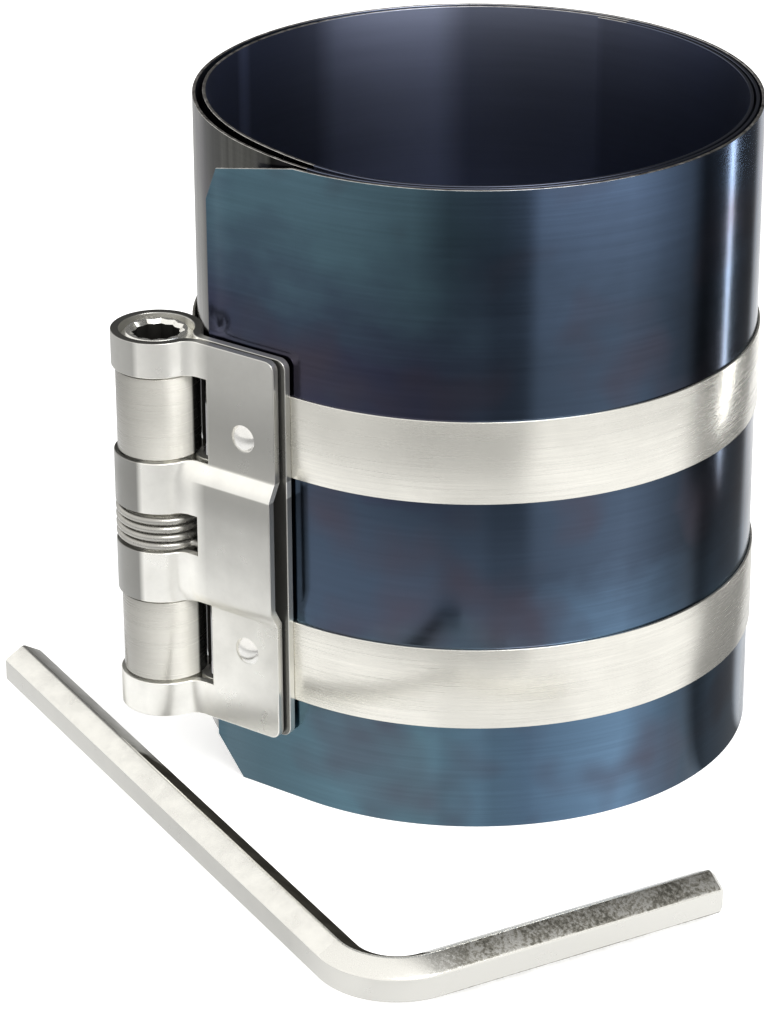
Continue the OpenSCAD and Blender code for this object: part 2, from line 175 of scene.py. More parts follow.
class SpindleSettings(bpy.types.PropertyGroup):
    """Sizes and colour of the spindle"""
    radius: length("Radius", "Radius of the spindle", SPINDLE_HIGH.x - AXIS.x)
    socket_af: length("Socket", "Across flats of the twelve-point socket", 5.1 * MM)
    socket_depth: length("Socket depth", "Depth of the socket", 12 * MM)
    chamfer: length("Chamfer", "Chamfer on the ends", 0.75 * MM)
    mouth: length("Mouth", "Chamfer at the mouth of the socket", 0.45 * MM)
    tint: colour("Tint", "Plated steel", (0.92, 0.91, 0.86))
    socket_tint: colour("Socket tint", "Oily steel in the socket", (0.07, 0.068, 0.062))


class SpringSettings(bpy.types.PropertyGroup):
    """Sizes and colour of the wrap spring"""
    wire: length("Wire", "Diameter of the wire", 0.95 * MM)
    coil_r: length("Coil radius", "Radius of the coil on the wire's middle", 4.995 * MM)
    pitch: length("Pitch", "Pitch of the coils", 1.08 * MM)
    turns: FloatProperty(name="Turns", description="Number of coils", default=3.5)
    bend_r: length("Bend radius", "Bend where the tail leaves the coil", 1 * MM)
    tail: length("Tail", "Length of the tail in the pocket", 6 * MM)
    tint: colour("Tint", "Drawn spring wire", (0.46, 0.45, 0.42))


class RivetSettings(bpy.types.PropertyGroup):
    """Sizes and colour of the rivets"""
    head_r: length("Head radius", "Radius of the domed head", 1.7 * MM)
    head_h: length("Head height", "Height of the domed head", 0.7 * MM)
    shank_r: length("Shank radius", "Radius of the shank", 1 * MM)
    tint: colour("Tint", "Bright plate", (0.86, 0.85, 0.82))


class KeySettings(bpy.types.PropertyGroup):
    """Sizes and colour of the loose hex key"""
    across: length("Across flats", "Across flats of the hexagon", 5 * MM)
    long_leg: length("Long leg", "Long leg, from the corner of the middle lines", 91 * MM)
    short_leg: length("Short leg", "Short leg, from the corner of the middle lines", 44.5 * MM)
    bend_r: length("Bend radius", "Radius of the bend on the middle line", 7.5 * MM)
    chamfer: length("Chamfer", "Chamfer on the ends", 0.6 * MM)
    edge_r: length("Edge radius", "Rounding of the hexagon's corners", 0.3 * MM)
    turn: bearing("Turn", "Direction of the long leg on the table", 155.5)
    away: length("Away", "Space between the sleeve and the middle line of the long leg", 14 * MM)
    lead: length("Lead", "Distance of the corner from abreast of the sleeve's axis", 60 * MM)
    tint: colour("Tint", "Bright plate", (0.88, 0.87, 0.82))
    # Black tints of the painted shadow on the key's long leg
    painted_shadow_black: colour("Oil", "Plate under thick oil", (0.012, 0.011, 0.009))
    painted_shadow_dark: colour("Thin oil", "Plate under thinner oil", (0.05, 0.047, 0.04))


class StageSettings(bpy.types.PropertyGroup):
    """Camera, floor and light"""
    camera_away: length("Camera distance", "Distance of the camera from the sleeve's axis", 450 * MM)
    camera_height: length("Camera height", "Height of the camera", 232.7 * MM)
    turn: bearing("Turn", "Turn of the camera round the sleeve", FRONT + 90)
    yaw: bearing("Yaw", "Sideways aim", -1.443)
    pitch: bearing("Pitch", "Downward aim", 24.733)
    roll: bearing("Roll", "Tilt of the frame", -0.296)
    lens: FloatProperty(name="Lens", description="Focal length for a frame 36 mm high", default=141.0)
    floor: colour("Floor", "Pale floor", (0.9, 0.9, 0.9))
    floor_size: length("Floor size", "Side of the floor", 8.0)
    floor_glow: FloatProperty(name="Floor glow", description="White added to the floor for the camera",
                              default=0.56)
    sky: colour("Sky", "Tint of the soft sky", (1.0, 0.99, 0.97))
    dark_turn: bearing("Dark turn", "Direction of the dark side behind, from the camera's side", 140)
    mirror_radius: length("Mirror radius", "Radius of the sleeve that mirrors the floor", SLEEVE_HIGH.x)
    lamp_at: FloatVectorProperty(name="Lamp", description="Place of the soft lamp", default=(0.85, -0.4, 1.0),
                                 subtype="TRANSLATION", size=3)
    lamp_size: length("Lamp size", "Side of the soft lamp", 0.7)
    lamp_power: FloatProperty(name="Lamp power", description="Power of the soft lamp in watts", default=9.0)


class RingCompressorSettings(bpy.types.PropertyGroup):
    """All settings of the ring compressor"""
    sleeve: PointerProperty(type=SleeveSettings)
    band: PointerProperty(type=BandSettings)
    housing: PointerProperty(type=HousingSettings)
    spindle: PointerProperty(type=SpindleSettings)
    spring: PointerProperty(type=SpringSettings)
    rivet: PointerProperty(type=RivetSettings)
    key: PointerProperty(type=KeySettings)
    stage: PointerProperty(type=StageSettings)


# Modelling helpers

def everything(bm):
    """All the geometry of a bmesh"""
    return bm.verts[:] + bm.edges[:] + bm.faces[:]


def verts_of(geometry):
    """The vertices in a list of geometry"""
    return [g for g in geometry if isinstance(g, bmesh.types.BMVert)]


def upright_section(bm, middle, across, width, height, edge_r):
    """Upright rectangle with rounded corners, its width along a level direction, and returns its geometry"""
    facing = across.cross(UP)
    columns = (across * width, UP * height, facing, middle)
    matrix = Matrix([[c[row] for c in columns] for row in range(3)] + [[0, 0, 0, 1]])
    bmesh.ops.create_grid(bm, x_segments=1, y_segments=1, size=0.5, matrix=matrix)
    bmesh.ops.bevel(bm, geom=bm.verts[:], offset=edge_r, offset_type="OFFSET", affect="VERTICES",
                    segments=3, profile=0.5, material=-1)
    return everything(bm)


def carry_round(bm, section, centre, angle, steps, rise=0.0):
    """Sweeps a section round an upright axis and returns the section at the end"""
    swept = bmesh.ops.spin(bm, geom=section, cent=centre, axis=UP, dvec=UP * (rise / steps), angle=angle,
                           steps=steps, use_merge=False, use_duplicate=False)
    return swept["geom_last"]


def carry_along(bm, section, way):
    """Sweeps a section along a straight way and returns the section at the end"""
    swept = bmesh.ops.extrude_face_region(bm, geom=section)["geom"]
    bmesh.ops.translate(bm, vec=way, verts=verts_of(swept))
    return swept


def level(angle):
    """Level unit vector at an angle"""
    return Vector((math.cos(angle), math.sin(angle), 0))


def dent_at(angle, depth, stop):
    """Depth of the dent in a layer behind the flat end, at an angle round the sleeve"""
    begin, peak = math.radians(195), math.radians(253)
    if not begin < angle < stop:
        return 0.0
    way = (angle - begin) / (peak - begin) if angle < peak else (stop - angle) / (stop - peak)
    return depth * math.sin(way * QUARTER_TURN) ** 2


def carry_dented(bm, section, centre, begin, angle, steps, depth, stop):
    """Sweeps a section round an upright axis, with a dent on the way, and returns the section at the end"""
    if depth == 0.0:
        return carry_round(bm, section, centre, angle, steps)
    for index in range(steps):
        here = begin + angle * index / steps
        after = begin + angle * (index + 1) / steps
        section = carry_round(bm, section, centre, angle / steps, 1)
        inwards = dent_at(here, depth, stop) - dent_at(after, depth, stop)
        bmesh.ops.translate(bm, vec=level(after) * inwards, verts=verts_of(section))
    return section


def slice_at(bm, spot, way):
    """Cuts a line into the whole mesh where a plane crosses it"""
    bmesh.ops.bisect_plane(bm, geom=everything(bm), plane_co=spot, plane_no=way)


def sink_loop(bm, edges, top, steps):
    """Extrudes a loop downwards in steps, each a drop and a growth about the axis, and closes its end"""
    for drop, grow in steps:
        made = bmesh.ops.extrude_edge_only(bm, edges=edges)["geom"]
        down = verts_of(made)
        bmesh.ops.scale(bm, vec=Vector((grow, grow, 1)), verts=down, space=Matrix.Translation(-top))
        bmesh.ops.translate(bm, vec=-UP * drop, verts=down)
        edges = [e for e in made if isinstance(e, bmesh.types.BMEdge)]
    bmesh.ops.contextual_create(bm, geom=edges)


def finish_piece(bm, name, body, nodes, materials):
    """Turns a bmesh into a piece that rides on a body and stands for its nodes"""
    bmesh.ops.remove_doubles(bm, verts=bm.verts[:], dist=SAME_SPOT)
    bmesh.ops.recalc_face_normals(bm, faces=bm.faces[:])
    mesh = bpy.data.meshes.new(name)
    bm.to_mesh(mesh)
    bm.free()
    mesh.shade_smooth()
    mesh.set_sharp_from_angle(angle=SHARP)
    for material in materials:
        mesh.materials.append(material)
    piece = bpy.data.objects.new(name, mesh)
    bpy.context.scene.collection.objects.link(piece)
    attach(piece, body)
    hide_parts(*nodes)
    return piece


# Material helpers

def place(tree, kind, inputs=(), **options):
    """Adds a node, sets its options, and fills its inputs with values or with other nodes' outputs"""
    node = tree.nodes.new(kind)
    for name, value in options.items():
        setattr(node, name, value)
    for name, value in dict(inputs).items():
        if isinstance(value, bpy.types.NodeSocket):
            tree.links.new(value, node.inputs[name])
        else:
            node.inputs[name].default_value = value
    return node


def sums(tree, operation, first, second=0.0):
    """Result of a sum on one or two values"""
    return place(tree, "ShaderNodeMath", {0: first, 1: second}, operation=operation).outputs[0]


def product(tree, first, *others):
    """Product of two or more values"""
    for other in others:
        first = sums(tree, "MULTIPLY", first, other)
    return first


def spread(tree, value, low, high, to_low=0.0, to_high=1.0):
    """Value spread from one range to another, and held at the ends"""
    inputs = {"Value": value, "From Min": low, "From Max": high, "To Min": to_low, "To Max": to_high}
    return place(tree, "ShaderNodeMapRange", inputs).outputs["Result"]


def window(tree, value, rise, fall):
    """Value that is 1 between a rise and a fall, each a pair of places, and 0 outside them"""
    return product(tree, spread(tree, value, *rise), spread(tree, value, *fall, 1.0, 0.0))


def parts_of(tree, at):
    """The three parts of a point, by name"""
    return place(tree, "ShaderNodeSeparateXYZ", {0: at}).outputs


def vector_sum(tree, operation, first, second=(0.0, 0.0, 0.0)):
    """Outputs of a sum on one or two vectors"""
    return place(tree, "ShaderNodeVectorMath", {0: first, 1: second}, operation=operation).outputs


def along_way(tree, at, way):
    """Distance of a point along a direction"""
    return vector_sum(tree, "DOT_PRODUCT", at, way)["Value"]


def stretched(tree, vector, scale):
    """Coordinates with each axis scaled by itself"""
    return vector_sum(tree, "MULTIPLY", vector, scale)[0]


def scaled(tree, tint, share):
    """Colour scaled by a value"""
    return place(tree, "ShaderNodeVectorMath", {0: tint, "Scale": share}, operation="SCALE").outputs[0]


def rgba(tint):
    """Colour with full alpha"""
    return (*tint, 1.0)


def toned(tint, share):
    """Tint made darker or lighter, with full alpha"""
    return rgba(c * share for c in tint)


def mixed(tree, factor, first, second, blend="MIX"):
    """Mix of two colours, for which the node has its sockets 6 and 7, and its output 2"""
    inputs = {0: factor, 6: first, 7: second}
    return place(tree, "ShaderNodeMix", inputs, data_type="RGBA", blend_type=blend).outputs[2]


def noise(tree, vector, scale, detail=3.0, rough=0.5):
    """Cloudy noise from 0 to 1"""
    inputs = {"Vector": vector, "Scale": scale, "Detail": detail, "Roughness": rough}
    return place(tree, "ShaderNodeTexNoise", inputs).outputs["Fac"]


def tint_ramp(tree, value, stops):
    """Colour picked from a row of stops, each a place from 0 to 1 and a tint"""
    node = place(tree, "ShaderNodeValToRGB", {"Fac": value})
    elements = node.color_ramp.elements
    for place_at, _ in stops[1:-1]:
        elements.new(place_at)
    for element, (place_at, tint) in zip(elements, stops):
        element.position = place_at
        element.color = rgba(tint)
    return node.outputs["Color"]


def grey_ramp(tree, turned, stops, scale=1, around=360):
    """Brightness picked by angle, from stops that are each an angle in degrees and a brightness"""
    shares = [(degrees / around + 0.5, (v / scale,) * 3) for degrees, v in stops]
    return tint_ramp(tree, turned, shares)


def new_group(name, inputs, outputs):
    """Shader node group with named sockets, and its input and output nodes"""
    tree = bpy.data.node_groups.new(name, "ShaderNodeTree")
    for socket, kind in inputs:
        tree.interface.new_socket(name=socket, in_out="INPUT", socket_type=kind)
    for socket, kind in outputs:
        tree.interface.new_socket(name=socket, in_out="OUTPUT", socket_type=kind)
    return tree, tree.nodes.new("NodeGroupInput"), tree.nodes.new("NodeGroupOutput")


def rolled_lines():
    """Group: fine level lines that rolling leaves on a strip"""
    name = "Rolled lines"
    if name in bpy.data.node_groups:
        return bpy.data.node_groups[name]
    tree, entry, out = new_group(name, [("Vector", "NodeSocketVector"), ("Fineness", "NodeSocketFloat")],
                                 [("Lines", "NodeSocketFloat")])
    along = stretched(tree, entry.outputs["Vector"], (0.02, 0.02, 1.0))
    cloud = noise(tree, along, entry.outputs["Fineness"], detail=5.0, rough=0.65)
    tree.links.new(spread(tree, cloud, 0.3, 0.7), out.inputs["Lines"])
    return tree


def plate_mottle():
    """Group: cloudy mottling and fine grain of a plated surface"""
    name = "Plate mottle"
    if name in bpy.data.node_groups:
        return bpy.data.node_groups[name]
    tree, entry, out = new_group(name, [("Vector", "NodeSocketVector"), ("Scale", "NodeSocketFloat")],
                                 [("Clouds", "NodeSocketFloat"), ("Grain", "NodeSocketFloat")])
    vector = entry.outputs["Vector"]
    scale = entry.outputs["Scale"]
    clouds = noise(tree, vector, scale, detail=4.0, rough=0.6)
    grain = noise(tree, vector, product(tree, scale, 9.0), detail=2.0, rough=0.6)
    tree.links.new(spread(tree, clouds, 0.3, 0.7), out.inputs["Clouds"])
    tree.links.new(spread(tree, grain, 0.3, 0.7), out.inputs["Grain"])
    return tree


def new_metal(name, metallic=1.0):
    """Empty metal material: its node tree, its shader and its object coordinates"""
    material = bpy.data.materials.new(name)
    material.use_nodes = True
    tree = material.node_tree
    shader = tree.nodes["Principled BSDF"]
    shader.inputs["Metallic"].default_value = metallic
    coordinates = place(tree, "ShaderNodeTexCoord").outputs["Object"]
    return material, tree, shader, coordinates


def lines_on(tree, at, fineness):
    """Rolled lines of one fineness, placed in a material"""
    inputs = {"Vector": at, "Fineness": fineness}
    return place(tree, "ShaderNodeGroup", inputs, node_tree=rolled_lines()).outputs["Lines"]


def feed(tree, shader, tint, rough, height, bump, depth=GRAIN_DEPTH):
    """Joins a colour, a roughness and a bump to a metal's shader"""
    tree.links.new(tint, shader.inputs["Base Color"])
    tree.links.new(rough, shader.inputs["Roughness"])
    relief = place(tree, "ShaderNodeBump", {"Strength": bump, "Distance": depth, "Height": height})
    tree.links.new(relief.outputs["Normal"], shader.inputs["Normal"])


def angle_share(tree, at, middle):
    """Angle round an upright axis, as a share from 0 to 1 that is a half in the middle direction"""
    ahead = along_way(tree, at, level(middle))
    aside = along_way(tree, at, level(middle + QUARTER_TURN))
    return sums(tree, "ADD", sums(tree, "DIVIDE", sums(tree, "ARCTAN2", aside, ahead), FULL_TURN), 0.5)


# Finishes

def heat_tints_and_painted_reflections(tree, s, at, turned):
    """Heat tints of the blued strip, which drift with the height and round the sleeve, with upright bands of
    painted reflection
    """
    share = sums(tree, "DIVIDE", parts_of(tree, at)["Z"], s.height)
    clouds = noise(tree, stretched(tree, at, (1.0, 1.0, 1.6)), 42.0, detail=4.0, rough=0.55)
    drift = sums(tree, "ADD", share, spread(tree, clouds, 0.25, 0.75, -0.12, 0.12))
    left = tint_ramp(tree, drift, (
        (0.0, s.teal), (0.2, s.teal), (0.36, s.blue), (0.5, s.blue), (0.58, s.navy), (0.7, s.navy),
        (0.79, s.blue), (0.92, s.teal), (1.0, toned(s.teal, 1.12)[:3])))
    right = tint_ramp(tree, drift, (
        (0.0, s.pale), (0.2, s.pale), (0.4, s.blue), (0.75, s.blue), (1.0, s.steel)))
    # The right-hand tints begin at the front and fade out again towards the rear
    strip_colour = mixed(tree, window(tree, turned, (0.47, 0.53), (0.85, 1.0)), left, right)
    # Painted reflection: upright bands, lighter and darker by the angle round the sleeve, scale the tints
    painted_reflection_bands = grey_ramp(tree, turned, (
        (-180, 1.0), (1, 1.0), (4, 0.8), (11, 0.8), (13, 0.9), (18, 1.0), (25, 1.14), (31, 1.22),
        (35.5, 1.0), (40, 0.7), (44, 0.48), (48.5, 0.34), (51, 0.34), (54, 0.66), (57, 1.0), (180, 1.0)))
    strip_colour = mixed(tree, 1.0, strip_colour, painted_reflection_bands, "MULTIPLY")
    # The strip is darker at the lower left and in the upper middle
    lower_left = product(tree, window(tree, turned, (0.05, 0.25), (0.37, 0.425)),
                         spread(tree, share, 0.15, 0.3, 0.35, 0.0))
    upper_middle = product(tree, window(tree, turned, (0.467, 0.487), (0.503, 0.535)),
                           spread(tree, share, 0.72, 0.92, 0.0, 0.45))
    return mixed(tree, sums(tree, "MAXIMUM", lower_left, upper_middle), strip_colour, BLACK)


def second_layer_grey_and_painted_shade(tree, s, at, turned):
    """Second layer beside the flat end: where it shows, and its grey with upright streaks and strips of
    painted shade, which ends in painted shadow, near black, where it goes under"""
    off_flap = spread(tree, parts_of(tree, at)["Y"], 0.2 * MM - s.radius, 0.3 * MM - s.radius)
    beside = product(tree, window(tree, turned, (0.19, 0.21), (0.405, 0.41)), off_flap)
    streaks = noise(tree, stretched(tree, at, (1.0, 1.0, 0.03)), 700.0)
    grey = mixed(tree, spread(tree, streaks, 0.35, 0.65), rgba(s.beside_grey), toned(s.beside_grey, 0.55))
    # Painted shade in upright strips, and painted shadow, near black, where the layer goes under
    painted_shade_strips = grey_ramp(tree, turned, (
        (-180, 0.8), (-75.5, 0.8), (-73, 0.14), (-65, 0.14), (-63, 0.34), (-47, 0.34), (-45, 0.03),
        (180, 0.03)))
    return beside, mixed(tree, 1.0, grey, painted_shade_strips, "MULTIPLY")


def blued_steel(s):
    """Blued spring steel: tints that drift from navy to teal, with fine rolling lines, painted reflections
    and painted shade
    """
    material, tree, shader, at = new_metal("blued_steel")
    lines = lines_on(tree, at, SLEEVE_FINENESS)
    streaks = noise(tree, stretched(tree, at, (0.3, 0.3, 1.0)), 120.0)
    turned = angle_share(tree, at, s.front)
    beside, beside_grey = second_layer_grey_and_painted_shade(tree, s, at, turned)
    # Beside the flat end, the second layer's grey and its painted shade take the place of the tints
    strip_colour = mixed(tree, beside, heat_tints_and_painted_reflections(tree, s, at, turned), beside_grey)
    plum_patch = spread(tree, noise(tree, at, 75.0, detail=2.0), 0.5, 0.72, 0.0, 0.75)
    tint = mixed(tree, plum_patch, strip_colour, rgba(s.plum))
    shade = spread(tree, sums(tree, "ADD", lines, streaks), 0.3, 1.5, 0.9, 1.1)
    rough = spread(tree, lines, 0.0, 1.0, 0.13, 0.17)
    feed(tree, shader, scaled(tree, tint, shade), rough, lines, 0.04)
    return material


def blued_inside(s):
    """Inner face of the strip, with broad upright bands of painted light and shade and one narrow painted
    highlight
    """
    material, tree, shader, at = new_metal("blued_inside")
    lines = lines_on(tree, at, SLEEVE_FINENESS)
    # Painted light and shade: brightness by the angle round the sleeve, with one narrow bright line as
    # painted highlight
    bands = grey_ramp(tree, angle_share(tree, at, s.front + HALF_TURN), (
        (-180, 0.5), (-60, 0.5), (-29, 0.6), (-27, 0.85), (2, 0.8), (9, 1.6), (32, 1.5), (38, 0.8),
        (58, 0.75), (59.5, 1.4), (61.5, 1.4), (63, 0.7), (120, 0.7), (180, 0.5)), scale=2)
    strength = product(tree, bands, spread(tree, lines, 0.0, 1.0, 1.95, 2.05))
    rough = spread(tree, lines, 0.0, 1.0, 0.28, 0.3)
    feed(tree, shader, scaled(tree, s.inside, strength), rough, lines, 0.004)
    return material


def bare_edge(s):
    """Bare sheared edge of a strip"""
    material, tree, shader, at = new_metal("bare_edge")
    spots = noise(tree, at, 900.0)
    tint = mixed(tree, spread(tree, spots, 0.35, 0.7), rgba(s.edge_dull), rgba(s.edge_bright))
    feed(tree, shader, tint, spread(tree, spots, 0.3, 0.7, 0.25, 0.45), spots, 0.2)
    return material


def rolled_steel(s, name, metallic, on_roll):
    """Bright rolled band steel with level lines, faint stains, and painted shade and shadow near the spindle
    """
    material, tree, shader, at = new_metal(name, metallic)
    lines = lines_on(tree, at, BAND_FINENESS)
    blotch_noise = spread(tree, noise(tree, at, 110.0, detail=4.0), 0.4, 0.75)
    tint = mixed(tree, blotch_noise, rgba(s.tint), toned(s.tint, 0.86))
    tint = mixed(tree, spread(tree, lines, 0.0, 1.0, 0.0, 0.35), tint, toned(s.tint, 0.7))
    rough = spread(tree, lines, 0.0, 1.0, 0.2, 0.3)
    from_axis = vector_sum(tree, "SUBTRACT", at, AXIS)[0]
    if on_roll:
        # Painted shade: a roll is darker on its outer side, and painted shadow makes it black where the band
        # comes in
        turned = angle_share(tree, from_axis, math.radians(FRONT))
        wear_and_painted_shade = grey_ramp(tree, turned, (
            (-180, 0.25), (-90, 0.3), (-42, 0.45), (-10, 0.7), (25, 1.0), (54, 1.0), (58, 0.02),
            (150, 0.02), (180, 0.25)))
        tint = mixed(tree, 1.0, tint, wear_and_painted_shade, "MULTIPLY")
        tree.links.new(spread(tree, turned, 0.53, 0.6, metallic, 0.1), shader.inputs["Metallic"])
    else:
        # Painted shadow: the end that crosses to its roll is black
        away = vector_sum(tree, "LENGTH", stretched(tree, from_axis, (1.0, 1.0, 0.0)))["Value"]
        edge_noise = noise(tree, stretched(tree, at, (0.5, 0.5, 1.0)), 420.0, detail=4.0, rough=0.6)
        ragged = sums(tree, "ADD", away, spread(tree, edge_noise, 0.3, 0.7, -1.8 * MM, 1.8 * MM))
        near = spread(tree, ragged, s.painted_shadow_reach - 1.2 * MM, s.painted_shadow_reach + 1.2 * MM, 1.0, 0.0)
        past_tail = spread(tree, parts_of(tree, at)["X"], -s.tail - 1.5 * MM, -s.tail - 1 * MM, 1.0, 0.0)
        painted_shadow = product(tree, near, past_tail)
        tint = mixed(tree, painted_shadow, tint, rgba(s.painted_shadow_tint))
        rough = spread(tree, painted_shadow, 0.0, 1.0, rough, 0.6)
    feed(tree, shader, tint, rough, lines, 0.15)
    return material


def sheet_painted_shade(tree, at, ramp_low, ramp_high):
    """Share by which the housing's plate is darkened as painted shade"""
    spot = parts_of(tree, at)
    height = spot["Z"]
    from_axis = sums(tree, "SUBTRACT", spot["X"], AXIS.x)
    # Painted shade: the leaf is darker above than below, and its upper ramp stays bright
    leaf_side = spread(tree, from_axis, 6.5 * MM, 8.5 * MM)
    off_ramp = sums(tree, "ADD", spread(tree, height, ramp_low - 0.2 * MM, ramp_low, 1.0, 0.0),
                    spread(tree, height, ramp_high - 0.2 * MM, ramp_high))
    above = sums(tree, "MINIMUM", spread(tree, height, 14 * MM, 40 * MM, 0.05, 1.0),
                 spread(tree, height, 47 * MM, 57 * MM, 1.0, 0.7))
    leaf = product(tree, leaf_side, off_ramp, above, 0.72)
    # Painted shade: the knuckles are darker on their outer side, but for the lowest
    outer_side = spread(tree, from_axis, 0.7 * MM, 1.4 * MM, 0.88, 0.0)
    knuckles = sums(tree, "MINIMUM", spread(tree, height, 14 * MM, 22 * MM, 0.1, 1.0),
                    spread(tree, height, 47 * MM, 52 * MM, 1.0, 0.7))
    # Painted shadow: between the leaves the sheet is dark
    aside = sums(tree, "ABSOLUTE", sums(tree, "SUBTRACT", spot["Y"], AXIS.y))
    between = product(tree, spread(tree, aside, 0.16 * MM, 0.2 * MM, 1.0, 0.0), leaf_side)
    # The sheared end of the top knuckle is dark
    end = spread(tree, height, HOUSING_HIGH.z - 0.1 * MM, HOUSING_HIGH.z - 0.03 * MM)
    knuckle = spread(tree, from_axis, KNUCKLE_R, KNUCKLE_R + 1.5 * MM, 1.0, 0.0)
    darkened = leaf
    for other in (product(tree, outer_side, knuckles), between, product(tree, end, knuckle)):
        darkened = sums(tree, "MAXIMUM", darkened, other)
    return darkened


def plated(name, tint, scale, rough, bump, ramp=None):
    """Bright plate with cloudy mottling and fine grain"""
    material, tree, shader, at = new_metal(name, PLATE_METALLIC)
    mottle = place(tree, "ShaderNodeGroup", {"Vector": at, "Scale": scale}, node_tree=plate_mottle()).outputs
    clouds = mottle["Clouds"]
    plate = mixed(tree, spread(tree, clouds, 0.2, 1.0, 0.0, 0.5), rgba(tint), toned(tint, 0.8))
    if ramp:
        # Painted shade darkens the housing's sheet where it is given
        plate = mixed(tree, sheet_painted_shade(tree, at, *ramp), plate, toned(tint, 0.2))
    feed(tree, shader, plate, spread(tree, clouds, 0.0, 1.0, *rough), mottle["Grain"], bump)
    return material


def from_corner(tree, at, turn, start):
    """Distance from the key's corner along one of its legs"""
    return sums(tree, "ADD", along_way(tree, at, level(turn)), start)


def worn_plate_and_painted_shade(s, away):
    """Plate in dark and bright speckles, partly worn and partly painted shade, but for the stretch next to
    the bend
    """
    material, tree, shader, at = new_metal("key_wear_and_painted_shade", PLATE_METALLIC)
    speckles = noise(tree, at, 2200.0, rough=0.7)
    blots = noise(tree, at, 220.0, detail=2.0)
    wear_and_painted_shade = sums(tree, "ADD", speckles, spread(tree, blots, 0.3, 0.7, -0.08, 0.08))
    # Speckles of wear, darkened as painted shade
    speckled = tint_ramp(tree, wear_and_painted_shade, (
        (0.0, (0.07, 0.068, 0.058)), (0.35, (0.18, 0.174, 0.15)), (0.47, (0.4, 0.385, 0.335)),
        (0.57, toned(s.tint, 0.8)[:3]), (1.0, s.tint)))
    along = from_corner(tree, at, s.turn - QUARTER_TURN, away)
    ragged = sums(tree, "ADD", along, spread(tree, wear_and_painted_shade, 0.3, 0.7, -3 * MM, 3 * MM))
    past_bend = spread(tree, ragged, s.bend_r - 1 * MM, s.bend_r + 2 * MM)
    tint = mixed(tree, past_bend, toned(s.tint, 0.93), speckled)
    feed(tree, shader, tint, spread(tree, speckles, 0.3, 0.7, 0.3, 0.18), speckles, 0.3, 1.5 * GRAIN_DEPTH)
    return material


def painted_shade_grey_plate(s):
    """Plate that turns from bright at the bend to a grey of painted shade along the long leg"""
    material, tree, shader, at = new_metal("key_painted_shade", PLATE_METALLIC)
    blotch_noise = noise(tree, at, 300.0, detail=4.0)
    along = from_corner(tree, at, s.turn, s.lead)
    grey = mixed(tree, blotch_noise, toned(s.tint, 0.52), toned(s.tint, 0.7))
    tint = mixed(tree, spread(tree, along, -2 * MM, 14 * MM), rgba(s.tint), grey)
    feed(tree, shader, tint, spread(tree, blotch_noise, 0.3, 0.7, 0.25, 0.4), blotch_noise, 0.2)
    return material


def painted_shadow_plate(s):
    """Plate blackened as painted shadow, but for the stretch next to the long leg's tip"""
    material, tree, shader, at = new_metal("key_painted_shadow")
    blotch_noise = noise(tree, at, 400.0)
    along = from_corner(tree, at, s.turn, s.lead)
    ragged = sums(tree, "ADD", along, spread(tree, blotch_noise, 0.3, 0.7, -2 * MM, 2 * MM))
    bare = spread(tree, ragged, 0.62 * s.long_leg, 0.68 * s.long_leg)
    dark = mixed(tree, blotch_noise, rgba(s.painted_shadow_black), rgba(s.painted_shadow_dark))
    tint = mixed(tree, bare, dark, toned(s.tint, 0.6))
    # The painted shadow has no gleam, so that it stays black at a slant
    shader.inputs["Specular IOR Level"].default_value = 0.0
    tree.links.new(spread(tree, bare, 0.0, 1.0, 0.0, PLATE_METALLIC), shader.inputs["Metallic"])
    feed(tree, shader, tint, spread(tree, blotch_noise, 0.3, 0.7, 0.3, 0.45), blotch_noise, 0.2)
    return material


# Pieces

